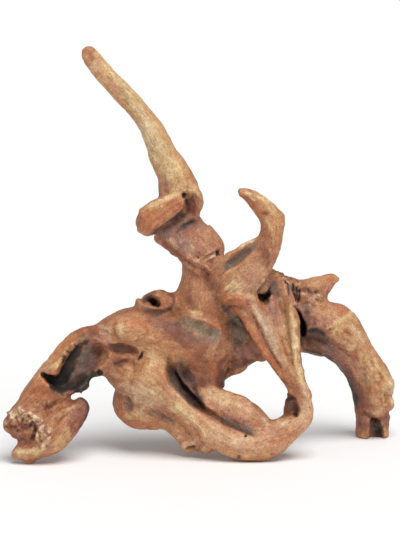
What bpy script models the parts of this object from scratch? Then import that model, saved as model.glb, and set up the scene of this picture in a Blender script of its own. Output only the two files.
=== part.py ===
"""African driftwood: one scoured root with a tall horn, a hooked claw, a front loop and three feet.

Metres, +Z up, seen from the front along +Y. The origin is on the ground under the middle of the wood.
The wood grew as one piece, so it is one solid: limbs swept along its branches, fused, worn round,
hollowed, and cut level where its three feet stand.
"""

import math

import bmesh
import bpy
from mathutils import Matrix, Vector

# Every row of a limb is (across, back, seen, half_width, half_depth) in millimetres. Across runs to
# the right and back away from the front. Seen is the height read square to a front view that looks
# down by LOOK_DOWN, so a row keeps its place in that view when only its back is changed.
MM = 0.001
LOOK_DOWN = math.radians(12)
SIGHT = Vector((0, math.cos(LOOK_DOWN), -math.sin(LOOK_DOWN)))

# The tall horn, from its broken tip down to the shoulder that the lip rolls out of.
HORN = [
    (-110, -4, 395, 8.4, 7.5),
    (-106.5, -5, 390, 9.6, 7.5),
    (-94.5, -9, 374.5, 10.4, 7.8),
    (-78, -14, 356.5, 11, 8.5),
    (-62.5, -18, 339.5, 10.8, 9),
    (-53, -20, 328, 11.2, 9.5),
    (-45.5, -22, 316, 12.5, 10.5),
    (-40, -23, 304, 13.6, 11.5),
    (-34.5, -24, 290.5, 15.2, 12.5),
    (-27.5, -26, 279, 16.2, 14),
    (-21.5, -26, 265, 19.5, 16),
    (-18.5, -25, 248, 19.5, 18),
    (-21, -23, 232, 15, 16),
]
HORN_NUB = [(-102, -8, 374, 3, 4), (-105, -9, 371, 1.5, 2)]

# The lip: a rolled ledge at the foot of the horn that juts left and forward.
LIP = [
    (-13, -40, 250, 6, 7),
    (-24, -42, 246, 9, 9),
    (-38, -44, 240, 11.5, 10),
    (-49.5, -44, 230.5, 13, 11),
    (-54.5, -41, 225, 11, 10),
]
LIP_ROOT = [
    (-20, -28, 246, 16, 14),
    (-36, -30, 235, 15, 13),
    (-46, -31, 225, 11.5, 11),
]
EAR = [
    (-9, -34, 262, 8, 9),
    (-1, -35, 252, 5, 8),
    (-1.5, -35, 242, 5, 8),
    (-9, -32, 232, 4.5, 7),
]

# The shank under the lip bulges to the right like a knee, then runs down into the trunk.
SHANK = [
    (-24, -23, 229, 20, 16),
    (-19, -21, 219, 24.5, 18),
    (-6.5, -21, 210.5, 22.5, 19),
    (1.5, -22, 200, 23.5, 19),
    (3.5, -23, 189, 21, 18),
    (5, -22, 178, 17, 17),
]
TRUNK = [
    (3, -22, 190, 19, 17),
    (0, -22, 175, 18, 17),
    (-1, -22, 160, 21, 19),
    (-1, -22, 145, 25, 22),
    (0, -20, 128, 32, 28),
]

# The claw: a broad wing in front of the trunk that narrows into a hook curling back to the left.
CLAW = [
    (24, -36, 162, 16, 10),
    (32, -40, 170, 21, 11),
    (43.5, -42, 179.5, 24, 10),
    (57.5, -42, 192.5, 20, 10),
    (67, -40, 204, 14.5, 10),
    (70.5, -38, 213, 12, 9.5),
    (72, -36, 222, 12, 9.5),
    (71.3, -34, 230, 12.3, 9),
    (66, -33, 238, 11.4, 8.5),
    (58, -34, 245.5, 9.8, 8),
    (50, -36, 252, 8, 7),
    (42, -38, 257, 6, 6),
]
WING_ROOT = [(26, -40, 164, 14, 10), (40, -42, 155, 13, 10), (53, -45, 143, 11, 9)]

# The chest is the thick middle of the root. Below, it draws back over the front hollow.
CHEST = [
    (0, -20, 128, 32, 28),
    (2, -16, 108, 36, 29),
    (2, -13, 88, 33, 25),
    (2, -14, 70, 24, 22),
    (4, -18, 56, 14, 18),
]
CHEST_RIM = [(16, -10, 83, 15, 16), (30, -8, 89.5, 14.5, 16), (46, -6, 99, 14, 16)]
CHEST_WEB = [
    (4, -18, 151, 18, 18),
    (24, -20, 149, 17, 16),
    (44, -20, 149, 16, 14),
    (60, -14, 152, 14, 14),
]

# The right arm arches down from the chest under a barky shoulder with a short spur, to a split foot.
RIGHT_ARM = [
    (15, -14, 113, 28, 26),
    (40, -9, 114, 27, 25),
    (68, -2, 122, 32, 26),
    (98, 8, 130.5, 34, 25),
    (120, 16, 122, 28, 24),
    (134, 21, 119, 28, 22),
    (145, 27, 108, 24.5, 21),
    (158.5, 34, 90, 20.5, 20),
    (173, 40, 66, 21.7, 20),
    (175, 45, 45, 20, 18),
    (174.5, 48, 25, 17, 16),
    (174.5, 49, 8, 17, 15),
]
SHOULDER = [
    (58, -14, 172, 15, 14),
    (76, -6, 164, 15, 16),
    (94, 4, 158, 13.5, 16),
    (108, 12, 152, 12, 14),
]
SPUR = [
    (100, 14, 156, 14.5, 13),
    (118, 19, 162, 12.5, 10),
    (129, 23, 169, 8.5, 7),
    (135, 25, 172.5, 6, 5.5),
]

# The strap crosses in front of the right arm and runs down into the loop.
STRAP = [
    (70, -26, 167, 14, 9),
    (71, -33, 150, 22, 10),
    (74.5, -39, 129, 24, 10),
    (80, -44, 108, 19.5, 10),
    (88, -48, 88, 14, 10),
    (94.5, -50, 70, 11, 10),
    (101, -49, 56, 9.5, 10),
]
STRAP_LEFT_RIDGE = [
    (30, -36, 147, 4.5, 6),
    (42, -41, 137, 5, 7),
    (53, -45, 123, 5, 7),
    (64, -48, 104, 5, 7),
    (76.5, -52, 87, 5, 7),
    (85, -55, 71, 4.5, 6),
    (92, -56, 59, 4, 5),
]
STRAP_MIDDLE_RIDGE = [
    (48, -43, 148, 4, 6),
    (58, -46, 130, 6, 7),
    (68, -50, 108, 6, 6),
    (78, -54, 88, 5, 5),
    (89, -57, 70, 4, 5),
    (100, -57, 57, 4, 4),
]
STRAP_RIGHT_RIDGE = [
    (82, -28, 170, 4, 6),
    (89, -37, 152, 5, 7),
    (93.5, -44, 131, 5.5, 7),
    (94.5, -48, 106, 5, 7),
    (95.5, -54, 84, 5, 6),
    (100, -56, 68, 5, 6),
    (106, -55, 56, 4, 5),
]

# The loop turns under at the front, stands on its lowest bend and rises left as a long bar.
BAR = [
    (100.5, -49, 60, 10, 10),
    (105.5, -48, 44, 7.5, 10),
    (103, -48, 31, 9, 11),
    (89, -49, 24, 14, 12),
    (75, -50, 14.5, 17.5, 13),
    (56, -51, 6.5, 16.5, 14),
    (38, -51, 7.0, 15.5, 14),
    (21, -50, 16.5, 15.5, 14),
    (4, -48, 30, 15, 14),
    (-12, -45, 45, 15, 15),
    (-30, -42, 60, 19, 18),
    (-50, -36, 76, 25, 21),
]
LOOP_KNUCKLE = [(92, -35, 56, 7, 8), (92.5, -33, 46, 9, 9), (91.5, -37, 36.5, 9.5, 9)]
INNER_LOBE = [
    (-3, -21, 62, 8, 10),
    (6, -29, 57, 11, 12),
    (19, -36, 50, 13, 12),
    (33, -39, 43, 15.5, 13),
    (48, -40, 35, 15, 13),
    (60, -43, 28, 12, 11),
]

# The left side: a heavy flank, the blob below it, and the small cup and nub on its top.
FLANK = [
    (0, -18, 112, 34, 28),
    (-25, -20, 110, 31, 27),
    (-50, -22, 114, 30, 25),
    (-63, -22, 114, 30.5, 25),
    (-75, -22, 111, 29, 24),
    (-95, -24, 103, 25, 22),
]
FLANK_BOSS = [(-84, -32, 122, 11, 14), (-72, -36, 121, 15, 16), (-58, -36, 118, 12, 14)]
BELLY = [
    (-88, -26, 86, 13, 16),
    (-70, -28, 76, 20, 20),
    (-50, -28, 66, 23, 22),
    (-28, -30, 52, 18, 18),
]
BLOB = [
    (-58, -22, 66, 20, 18),
    (-64, -20, 46.5, 22.5, 21),
    (-46, -22, 42.5, 22, 21),
    (-28, -26, 37, 19, 19),
    (-16, -32, 22, 13, 15),
    (-9, -36, 6.5, 10, 11),
]
HEEL_KNOB = [(-2, -42, 16, 9, 10), (8, -44, 3.5, 8, 8)]
CUP = [(-56, -24, 145, 9, 12), (-42, -25, 148.5, 13, 14), (-30, -24, 147.5, 10, 12)]
CUP_NUB = [(-60, -26, 147, 3.5, 4), (-64.5, -27, 151.5, 2.3, 2.5)]

# The left arm comes forward and down from the flank to a torn foot.
LEFT_ARM = [
    (-90, -24, 104, 24.5, 22),
    (-112.5, -28, 97, 25.5, 22),
    (-127.5, -34, 85, 23.5, 21),
    (-141, -41, 72, 21, 19),
    (-152.5, -48, 59, 19.3, 17),
    (-162, -53, 46, 19, 16),
    (-173, -57, 34, 16, 14),
]
HOLLOW_LIP = [
    (-103, -34, 80, 6, 8),
    (-113, -38, 72, 5.5, 8),
    (-119, -42, 66, 4.5, 8),
    (-129, -46, 59, 5, 8),
]
TORN_ROOT = [
    (-168, -56, 39, 18, 15),
    (-180, -59, 30.5, 14, 13),
    (-188.5, -61, 26, 8.5, 9),
]
TORN_TOE = [(-158, -57, 32, 15, 14), (-171, -60, 20, 12, 12), (-180, -62, 14, 7, 8)]
TORN_KNOT = [
    (-176, -66, 44, 6, 8),
    (-166, -69, 39, 7, 8),
    (-156, -69, 30, 8, 8),
    (-152, -68, 18, 7, 8),
]
FOOT_LOBE = [
    (-117, -53, 45.5, 10, 11),
    (-122.5, -56, 38.5, 14, 13),
    (-133.5, -60, 28, 16.5, 14),
    (-146, -62, 16, 17.5, 15),
    (-162, -62, 4.5, 12.5, 13),
    (-182, -62, -2, 6, 8),
]
FOOT_TOE = [(-167, -62, -4, 5, 6), (-168, -63, -12, 4, 5)]

# Strands and a broken stub on the back, hidden in the front view.
BACK_STRAND = [
    (6, -6, 192, 7, 8),
    (10, 2, 162, 8, 9),
    (20, 9, 132, 10, 10),
    (44, 14, 112, 10, 10),
    (78, 22, 113, 8, 8),
]
BACK_RIDGE = [(-8, 6, 128, 8, 9), (-40, 2, 119, 9, 9), (-70, -3, 106, 8, 8), (-97, -8, 93, 7, 7)]
BACK_STUB = [(14, 0, 96, 14, 13), (17, 14, 90, 12, 12), (22, 26, 85, 10, 10)]

LIMBS = {
    "horn": HORN,
    "horn_nub": HORN_NUB,
    "lip": LIP,
    "lip_root": LIP_ROOT,
    "ear": EAR,
    "shank": SHANK,
    "trunk": TRUNK,
    "claw": CLAW,
    "chest": CHEST,
    "chest_rim": CHEST_RIM,
    "chest_web": CHEST_WEB,
    "wing_root": WING_ROOT,
    "hollow_lip": HOLLOW_LIP,
    "flank_boss": FLANK_BOSS,
    "back_strand": BACK_STRAND,
    "back_ridge": BACK_RIDGE,
    "back_stub": BACK_STUB,
    "right_arm": RIGHT_ARM,
    "shoulder": SHOULDER,
    "spur": SPUR,
    "strap": STRAP,
    "strap_left_ridge": STRAP_LEFT_RIDGE,
    "strap_middle_ridge": STRAP_MIDDLE_RIDGE,
    "strap_right_ridge": STRAP_RIGHT_RIDGE,
    "bar": BAR,
    "loop_knuckle": LOOP_KNUCKLE,
    "inner_lobe": INNER_LOBE,
    "flank": FLANK,
    "belly": BELLY,
    "blob": BLOB,
    "heel_knob": HEEL_KNOB,
    "cup": CUP,
    "cup_nub": CUP_NUB,
    "left_arm": LEFT_ARM,
    "torn_root": TORN_ROOT,
    "torn_toe": TORN_TOE,
    "torn_knot": TORN_KNOT,
    "foot_lobe": FOOT_LOBE,
    "foot_toe": FOOT_TOE,
}

# Hollows that rot and sand have worn into the wood, as limbs that are taken away.
HOLLOWS = {
    "arm_hollow": [
        (-98, -52, 98, 12, 20),
        (-114, -56, 87, 20, 22),
        (-127, -62, 74, 17, 20),
        (-138, -66, 62, 9, 14),
    ],
    "arm_slot": [
        (-136, -66, 70, 8, 14),
        (-148, -66, 74, 5, 10),
        (-157, -66, 77, 2.5, 6),
    ],
    "flank_pocket": [
        (-92, -54, 102, 4, 10),
        (-82, -54, 100, 8, 14),
        (-70, -54, 99, 8, 14),
        (-60, -54, 96, 4, 12),
    ],
    "front_groove": [
        (-31, -52, 95, 3, 12),
        (-29, -54, 84, 6, 18),
        (-24, -55, 73, 8, 22),
        (-15, -56, 61, 7, 24),
        (-4, -58, 49, 5.5, 22),
        (8, -60, 39, 4, 18),
        (23, -61, 30, 3, 14),
        (40, -62, 22, 2.5, 12),
        (56, -63, 15, 2, 8),
    ],
    "chest_scoop_left": [
        (-18, -54, 130, 7, 9),
        (-2, -54, 124, 11, 12),
        (16, -51, 117, 8, 11),
    ],
    "chest_scoop_right": [
        (27, -49, 140, 7, 12),
        (35, -48, 122, 12, 16),
        (41, -43, 100, 9, 15),
    ],
    "back_trunk_hollow": [(1, 2, 170, 4, 7), (-3, 5, 150, 6, 9), (-4, 10, 132, 5, 8)],
    "back_arm_hollow": [(108, 42, 118, 6, 9), (130, 48, 102, 9, 11), (148, 56, 80, 8, 10), (157, 62, 58, 5, 8)],
    "back_flank_hollow": [(-26, 6, 84, 6, 9), (-48, 3, 80, 9, 12), (-68, -1, 76, 6, 10)],
    "back_horn_flute": [(-92, -1, 370, 2, 4), (-62, -8, 338, 3, 5), (-42, -11, 308, 4, 5)],
    "wing_channel": [
        (20, -49, 182, 3.5, 6),
        (32, -50, 189, 5.5, 8),
        (45, -50, 199, 5.5, 8),
        (57, -50, 208, 3, 6),
    ],
    "under_lip": [
        (-12, -50, 255, 3, 12),
        (-10, -48, 243, 4.5, 12),
        (-16, -48, 231, 6, 13),
        (-30, -46, 222.5, 6.5, 12),
        (-45, -44, 214, 4, 9),
    ],
    "under_wing": [(61, -44, 153, 4, 16), (67, -42, 148, 4, 14)],
    "cup_hollow": [
        (-56, -38, 150, 4, 12),
        (-48, -38, 150, 6.5, 14),
        (-41.5, -38, 147, 5, 13),
    ],
    "foot_recess": [(176, 34, 28, 4, 10), (175, 34, 8, 5, 12)],
    "strap_hollow": [
        (76, -42, 158, 5, 8),
        (83, -49, 132, 5.5, 8),
        (87, -54, 106, 4, 8),
        (91, -60, 86, 2.5, 6),
    ],
}

RING_SIDES = 20
RING_EVERY = 3.0 * MM
FUSE_VOXEL = 2.2 * MM
SOLID_VOXEL = 1.8 * MM
TRIANGLES = 11000
LUMP_SIZE = 22 * MM
LUMP_HEIGHT = 2.6 * MM
SLAB_SPAN = 0.8
SLAB_DEPTH = 0.06
FEET_CUT = 1.9 * MM
WOOD_COLOUR = (0.42, 0.21, 0.11, 1.0)


def point(across, back, seen):
    """The place in metres of a point whose height was read square to the front view."""
    up = (seen - back * math.sin(LOOK_DOWN)) / math.cos(LOOK_DOWN)
    return Vector((across, back, up)) * MM


def catmull(rows, i, t):
    """The row between rows i and i + 1, on a smooth curve through all of them."""
    last = len(rows) - 1
    a, b, c, d = (rows[max(0, min(last, k))] for k in (i - 1, i, i + 1, i + 2))
    return [
        0.5 * (2 * q + (r - p) * t + (2 * p - 5 * q + 4 * r - s) * t * t + (3 * q - p - 3 * r + s) * t**3)
        for p, q, r, s in zip(a, b, c, d)
    ]


def stations(rows):
    """Centre, half width and half depth in metres at every ring of a limb, with a dome at each end."""
    fine = []
    for i in range(len(rows) - 1):
        gap = (point(*rows[i + 1][:3]) - point(*rows[i][:3])).length
        steps = max(1, round(gap / RING_EVERY))
        fine += [catmull(rows, i, k / steps) for k in range(steps)]
    fine.append(list(rows[-1]))
    rings = [(point(*r[:3]), r[3] * MM, r[4] * MM) for r in fine]

    def dome(end, inner):
        out = (end[0] - inner[0]).normalized()
        reach = min(end[1], end[2]) * 0.8
        angles = [math.radians(a) for a in (30, 55, 75)]
        return [
            (end[0] + out * reach * math.sin(a), end[1] * math.cos(a), end[2] * math.cos(a))
            for a in angles
        ]

    return dome(rings[0], rings[1])[::-1] + rings + dome(rings[-1], rings[-2])


def sweep(name, rows, collection):
    """A closed limb: elliptical rings along the rows, each square to the limb and as wide as it is seen."""
    rings = stations(rows)
    bm = bmesh.new()
    loops = []
    for k, (centre, half_width, half_depth) in enumerate(rings):
        along = (rings[min(k + 1, len(rings) - 1)][0] - rings[max(k - 1, 0)][0]).normalized()
        wide = SIGHT.cross(along).normalized()
        deep = along.cross(wide)
        turn = [2 * math.pi * s / RING_SIDES for s in range(RING_SIDES)]
        loops.append([
            bm.verts.new(centre + wide * half_width * math.cos(a) + deep * half_depth * math.sin(a))
            for a in turn
        ])
    for near, far in zip(loops, loops[1:]):
        for s in range(RING_SIDES):
            n = (s + 1) % RING_SIDES
            bm.faces.new((near[s], near[n], far[n], far[s]))
    bm.faces.new(loops[0][::-1])
    bm.faces.new(loops[-1])
    bmesh.ops.recalc_face_normals(bm, faces=bm.faces)
    mesh = bpy.data.meshes.new(name)
    bm.to_mesh(mesh)
    bm.free()
    limb = bpy.data.objects.new(name, mesh)
    collection.objects.link(limb)
    return limb


def new_collection(name):
    collection = bpy.data.collections.new(name)
    bpy.context.scene.collection.children.link(collection)
    return collection


def joined(name, limbs, collection):
    """The limbs as one object, still crossing each other: the voxel remesh fuses them."""
    bm = bmesh.new()
    for limb in limbs:
        bm.from_mesh(limb.data)
        bpy.data.objects.remove(limb)
    mesh = bpy.data.meshes.new(name)
    bm.to_mesh(mesh)
    bm.free()
    wood = bpy.data.objects.new(name, mesh)
    collection.objects.link(wood)
    return wood


def settle(wood):
    """Makes the modifiers' result the wood's own mesh."""
    graph = bpy.context.evaluated_depsgraph_get()
    mesh = bpy.data.meshes.new_from_object(wood.evaluated_get(graph))
    wood.modifiers.clear()
    wood.data = mesh
    mesh.name = wood.name


def keep_largest_body(mesh):
    """Drops the crumbs that a cut leaves loose."""
    bm = bmesh.new()
    bm.from_mesh(mesh)
    unseen = set(bm.verts)
    bodies = []
    while unseen:
        body = [unseen.pop()]
        for vert in body:
            near = [e.other_vert(vert) for e in vert.link_edges if e.other_vert(vert) in unseen]
            unseen.difference_update(near)
            body += near
        bodies.append(body)
    bodies.sort(key=len)
    for body in bodies[:-1]:
        bmesh.ops.delete(bm, geom=body, context="VERTS")
    bm.to_mesh(mesh)
    bm.free()


def ground_cutter(collection):
    """A slab whose top levels the three feet."""
    bm = bmesh.new()
    size = Matrix.Diagonal((SLAB_SPAN, SLAB_SPAN, SLAB_DEPTH, 1))
    place = Matrix.Translation((0, 0, FEET_CUT - SLAB_DEPTH / 2)) @ size
    bmesh.ops.create_cube(bm, size=1, matrix=place)
    mesh = bpy.data.meshes.new("ground")
    bm.to_mesh(mesh)
    bm.free()
    slab = bpy.data.objects.new("ground", mesh)
    collection.objects.link(slab)
    return slab


def stand_over_origin(mesh):
    """Moves the wood so that its levelled feet are at height 0 and its box is centred on the origin."""
    for axis in range(3):
        places = [v.co[axis] for v in mesh.vertices]
        shift = min(places) if axis == 2 else (min(places) + max(places)) / 2
        for vert in mesh.vertices:
            vert.co[axis] -= shift


def add_remesh(wood, voxel):
    remesh = wood.modifiers.new("fuse", "REMESH")
    remesh.mode = "VOXEL"
    remesh.voxel_size = voxel
    remesh.adaptivity = 0


def add_smooth(wood, turns):
    smooth = wood.modifiers.new("wear", "SMOOTH")
    smooth.factor = 0.5
    smooth.iterations = turns


def add_lumps(wood):
    """Swells and dips the surface by a millimetre or two, so that no limb stays a plain tube."""
    clouds = bpy.data.textures.new("lumps", "CLOUDS")
    clouds.noise_scale = LUMP_SIZE
    clouds.noise_depth = 2
    lumps = wood.modifiers.new("lumps", "DISPLACE")
    lumps.texture = clouds
    lumps.texture_coords = "LOCAL"
    lumps.strength = LUMP_HEIGHT


def add_cut(wood, cutter):
    """Takes away an object, or every object of a collection."""
    cut = wood.modifiers.new("cut", "BOOLEAN")
    cut.operation = "DIFFERENCE"
    if isinstance(cutter, bpy.types.Collection):
        cut.operand_type = "COLLECTION"
        cut.collection = cutter
    else:
        cut.object = cutter


def add_thinning(wood, triangles):
    thin = wood.modifiers.new("thin", "DECIMATE")
    thin.ratio = min(1.0, triangles / (2 * len(wood.data.polygons)))


def wood_material():
    material = bpy.data.materials.new("wood")
    material.use_nodes = True
    shader = material.node_tree.nodes["Principled BSDF"]
    shader.inputs["Base Color"].default_value = WOOD_COLOUR
    shader.inputs["Roughness"].default_value = 0.7
    shader.inputs["Metallic"].default_value = 0.0
    return material


def fused_wood(parts, hollows):
    """The limbs fused and worn, with the hollows taken out and their rims worn too."""
    limbs = [sweep(name, rows, parts) for name, rows in LIMBS.items()]
    wood = joined("driftwood", limbs, parts)
    add_remesh(wood, FUSE_VOXEL)
    add_smooth(wood, 8)
    add_cut(wood, hollows)
    add_remesh(wood, SOLID_VOXEL)
    add_smooth(wood, 6)
    add_lumps(wood)
    settle(wood)
    return wood


def build():
    for obj in list(bpy.data.objects):
        bpy.data.objects.remove(obj)
    parts = new_collection("african_driftwood")
    hollows = new_collection("hollows")
    cutters = new_collection("cutters")
    for name, rows in HOLLOWS.items():
        sweep(name, rows, hollows)
    slab = ground_cutter(cutters)
    for helper in (*hollows.objects, slab):
        helper.hide_render = True
        helper.display_type = "WIRE"
    wood = fused_wood(parts, hollows)
    keep_largest_body(wood.data)
    add_thinning(wood, TRIANGLES)
    add_cut(wood, slab)
    settle(wood)
    stand_over_origin(wood.data)
    wood.data.materials.append(wood_material())


build()
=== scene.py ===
import math

import bmesh
import bpy
import numpy as np
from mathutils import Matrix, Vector, noise
from mathutils.bvhtree import BVHTree
from mathutils.kdtree import KDTree


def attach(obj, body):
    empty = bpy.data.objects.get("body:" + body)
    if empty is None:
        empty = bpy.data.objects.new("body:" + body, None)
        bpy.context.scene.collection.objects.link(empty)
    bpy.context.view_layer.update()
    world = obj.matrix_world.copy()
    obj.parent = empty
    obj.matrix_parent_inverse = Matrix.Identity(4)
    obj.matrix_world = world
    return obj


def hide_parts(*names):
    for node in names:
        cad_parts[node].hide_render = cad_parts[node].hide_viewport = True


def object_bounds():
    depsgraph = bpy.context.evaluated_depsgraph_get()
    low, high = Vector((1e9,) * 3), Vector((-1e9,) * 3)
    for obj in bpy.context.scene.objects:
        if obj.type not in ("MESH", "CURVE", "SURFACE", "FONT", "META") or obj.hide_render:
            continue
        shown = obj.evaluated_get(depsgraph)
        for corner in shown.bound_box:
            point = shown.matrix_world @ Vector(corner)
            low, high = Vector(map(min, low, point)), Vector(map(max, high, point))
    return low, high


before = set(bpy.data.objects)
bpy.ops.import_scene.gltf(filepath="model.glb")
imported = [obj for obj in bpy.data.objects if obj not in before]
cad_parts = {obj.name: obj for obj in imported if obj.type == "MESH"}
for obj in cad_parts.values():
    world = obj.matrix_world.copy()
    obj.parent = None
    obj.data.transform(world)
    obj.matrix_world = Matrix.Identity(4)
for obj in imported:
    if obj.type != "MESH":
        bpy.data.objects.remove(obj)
cad_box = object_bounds()


# ---- The root as one body ----
# The real piece is a single root of dense red-brown wood, dug up, scoured with sand and dried. The solid
# gives its limbs; its skin is drawn finer here, so that folds, splits and fibres can be cut into it.

MM = 0.001
WELD = 0.00001
SKIN_VOXEL = 1.25 * MM
FIRST_WEAR = 5
FIRST_SOFTENING = 6


def settled(piece):
    """Makes the modifiers' result the piece's own mesh."""
    graph = bpy.context.evaluated_depsgraph_get()
    mesh = bpy.data.meshes.new_from_object(piece.evaluated_get(graph))
    old = piece.data
    piece.modifiers.clear()
    piece.data = mesh
    bpy.data.meshes.remove(old)
    mesh.name = piece.name


def reskin(piece, turns):
    """Draws the skin anew in even faces, and wears it smooth by a few turns."""
    remesh = piece.modifiers.new("skin", "REMESH")
    remesh.mode = "VOXEL"
    remesh.voxel_size = SKIN_VOXEL
    wear = piece.modifiers.new("wear", "SMOOTH")
    wear.factor = 0.5
    wear.iterations = turns
    settled(piece)


wood_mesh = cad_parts["driftwood"].data.copy()
bm = bmesh.new()
bm.from_mesh(wood_mesh)
bmesh.ops.remove_doubles(bm, verts=bm.verts, dist=WELD)
bm.to_mesh(wood_mesh)
bm.free()
wood_mesh.materials.clear()
wood = bpy.data.objects.new("wood", wood_mesh)
bpy.context.scene.collection.objects.link(wood)
reskin(wood, FIRST_WEAR)


class Neighbours:
    """Averages values over the points that share an edge."""

    def __init__(self, mesh):
        ends = np.empty(len(mesh.edges) * 2, np.int32)
        mesh.edges.foreach_get("vertices", ends)
        ends = ends.reshape(-1, 2)
        self.near = np.concatenate((ends[:, 0], ends[:, 1]))
        self.far = np.concatenate((ends[:, 1], ends[:, 0]))
        order = np.argsort(self.near, kind="stable")
        self.near, self.far = self.near[order], self.far[order]
        self.count = np.bincount(self.near, minlength=len(mesh.vertices))
        self.first = np.concatenate(([0], np.cumsum(self.count)[:-1]))

    def mean(self, values):
        total = np.add.reduceat(values[self.far], self.first, axis=0)
        return total / self.count.reshape((-1,) + (1,) * (values.ndim - 1))

    def blurred(self, values, turns):
        for _ in range(turns):
            values = 0.5 * values + 0.5 * self.mean(values)
        return values


# Marks are drawn on two sheets of 400 by 533 mm that hang square to a view: the front one is seen from a
# little above, and the back one level from behind. On both, u runs with X and v runs down. Shift is how
# far, in mm, the marks' middle plane lies from the middle of the solid.
MIDDLE_U = 200
MIDDLE_V = 266.5
BACK_GROUND_V = 450
LOOK_DOWN = math.radians(12)
EYE_DISTANCE = 5.0
MIDDLE_HEIGHT = 183.5
SHIFT = (-0.3, 7.0, -1.9)
AWAY = Vector((0, math.cos(LOOK_DOWN), -math.sin(LOOK_DOWN)))
UP = Vector((0, math.sin(LOOK_DOWN), math.cos(LOOK_DOWN)))
LOOKS = {"front": AWAY, "back": Vector((0, -1, 0))}
SHEET_MIDDLE = UP * (MIDDLE_HEIGHT / 1000) + Vector([mm * MM for mm in SHIFT])
EYE = SHEET_MIDDLE - AWAY * EYE_DISTANCE


def sight(u, v, side):
    """Where a point of the sheet is seen from, and the way there."""
    if side == "front":
        aim = SHEET_MIDDLE + Vector((u - MIDDLE_U, 0, 0)) * MM + UP * (MIDDLE_V - v) * MM
        return EYE, (aim - EYE).normalized()
    return Vector((u - MIDDLE_U, 0, BACK_GROUND_V - v)) * MM - LOOKS["back"], LOOKS["back"]


def on_sheet(points, side):
    """u, v and depth in mm of points in metres."""
    if side == "front":
        offset = points - np.array(EYE)
        depth = offset @ np.array(AWAY)
        u = MIDDLE_U + offset[:, 0] * EYE_DISTANCE / depth / MM
        v = MIDDLE_V - offset @ np.array(UP) * EYE_DISTANCE / depth / MM
        return np.stack((u, v), axis=1), depth / MM
    across, back, up = points.T / MM
    return np.stack((MIDDLE_U + across, BACK_GROUND_V - up), axis=1), -back


def move_skin(points):
    """Puts the skin's points where they now belong."""
    wood.data.vertices.foreach_set("co", points.astype(np.float32).ravel())
    wood.data.update()


def read_skin(turns, box=None):
    """The skin's points in metres, held inside a box if one is given; the way it faces at each, smoothed by
    some turns; which are neighbours; where each lies on the sheets; and a tree that rays can meet."""
    mesh = wood.data
    place = np.empty(len(mesh.vertices) * 3, np.float32)
    mesh.vertices.foreach_get("co", place)
    place = place.reshape(-1, 3).astype(float)
    facing = np.empty(len(mesh.vertices) * 3, np.float32)
    mesh.vertex_normals.foreach_get("vector", facing)
    if box:
        place = np.clip(place, *box)
        move_skin(place)
    near = Neighbours(mesh)
    facing = near.blurred(facing.reshape(-1, 3).astype(float), turns)
    facing /= np.linalg.norm(facing, axis=1, keepdims=True)
    sheets = {side: on_sheet(place, side) for side in LOOKS}
    tree = BVHTree.FromPolygons([v.co for v in mesh.vertices], [p.vertices for p in mesh.polygons])
    return place, facing, near, sheets, tree


place, facing, near, sheets, wood_tree = read_skin(FIRST_SOFTENING)


# ---- The tall horn ----
# A side root that broke off, worn to a long horn. It is bleached blond down to its heartwood, and the
# edge of its flanks keeps the orange skin.

# The tones are linear colours.
BLOND = (0.66, 0.44, 0.22)
CREAM = (0.74, 0.52, 0.33)
TAN = (0.58, 0.32, 0.16)
PEACH = (0.60, 0.33, 0.19)
OCHRE = (0.52, 0.26, 0.12)
SIENNA = (0.42, 0.18, 0.09)
RUST = (0.40, 0.145, 0.065)
ROSE = (0.47, 0.215, 0.14)
STRAW = (0.60, 0.44, 0.235)

# How finely a mark's rows are filled in and how far outside them points are looked for, in mm; from what
# share of its reach a mark weakens; and where the taper of its ends starts.
ROW_STEP = 1.2
EDGE_SLACK = 2
FULL_REACH = 0.6
END_START = -0.001
stains_and_shades = []
fibres = []


def smooth_line(rows, step):
    """The rows with more rows between them, on a smooth curve through them all."""
    rows = [np.array(r, float) for r in rows]
    if len(rows) == 1:
        return rows
    fine = []
    last = len(rows) - 1
    for i in range(last):
        a, b, c, d = (rows[max(0, min(last, k))] for k in (i - 1, i, i + 1, i + 2))
        steps = max(1, round(float(np.hypot(*(c - b)[:2])) / step))
        for k in range(steps):
            t = k / steps
            square, cube = (2 * a - 5 * b + 4 * c - d) * t**2, (3 * b - a - 3 * c + d) * t**3
            fine.append(0.5 * (2 * b + (c - a) * t + square + cube))
    fine.append(rows[-1])
    return fine


def ease(x, low, high):
    """0 below low and 1 above high, with a soft rise between."""
    t = np.clip((x - low) / (high - low), 0, 1)
    return t * t * (3 - 2 * t)


def touched(rows, side, reach, wobble=None):
    """The points within a mark of (u, v, half width) rows: which, how far out of its half width, how far
    along, and how surely. A point counts only within reach mm of the depth at which the mark meets wood."""
    flat, depth = sheets[side]
    fine = np.array(smooth_line(rows, ROW_STEP))
    met = []
    for u, v, _ in fine:
        start, way = sight(u, v, side)
        hit = wood_tree.ray_cast(start, way)[0]
        met.append(np.nan if hit is None else float(on_sheet(np.array([hit]), side)[1][0]))
    met = np.array(met)
    if np.isnan(met).all():
        return np.zeros(0, int), np.zeros(0), np.zeros(0), np.zeros(0)
    known = np.nonzero(~np.isnan(met))[0]
    met = met[known[np.abs(np.arange(len(met))[:, None] - known[None]).argmin(1)]]
    low, high = (fine[:, :2] - fine[:, 2:]).min(0), (fine[:, :2] + fine[:, 2:]).max(0)
    index = np.nonzero(np.all((flat > low - EDGE_SLACK) & (flat < high + EDGE_SLACK), axis=1))[0]
    away = np.linalg.norm(flat[index, None, :] - fine[None, :, :2], axis=2) / fine[None, :, 2]
    nearest = away.argmin(1)
    out = away[np.arange(len(index)), nearest]
    if wobble is not None:
        out = np.maximum(out + wobble[index], 0)
    close = 1 - ease(np.abs(depth[index] - met[nearest]), FULL_REACH * reach, reach)
    keep = (out < 1) & (close > 0)
    return index[keep], out[keep], nearest[keep] / max(1, len(fine) - 1), close[keep]


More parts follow.
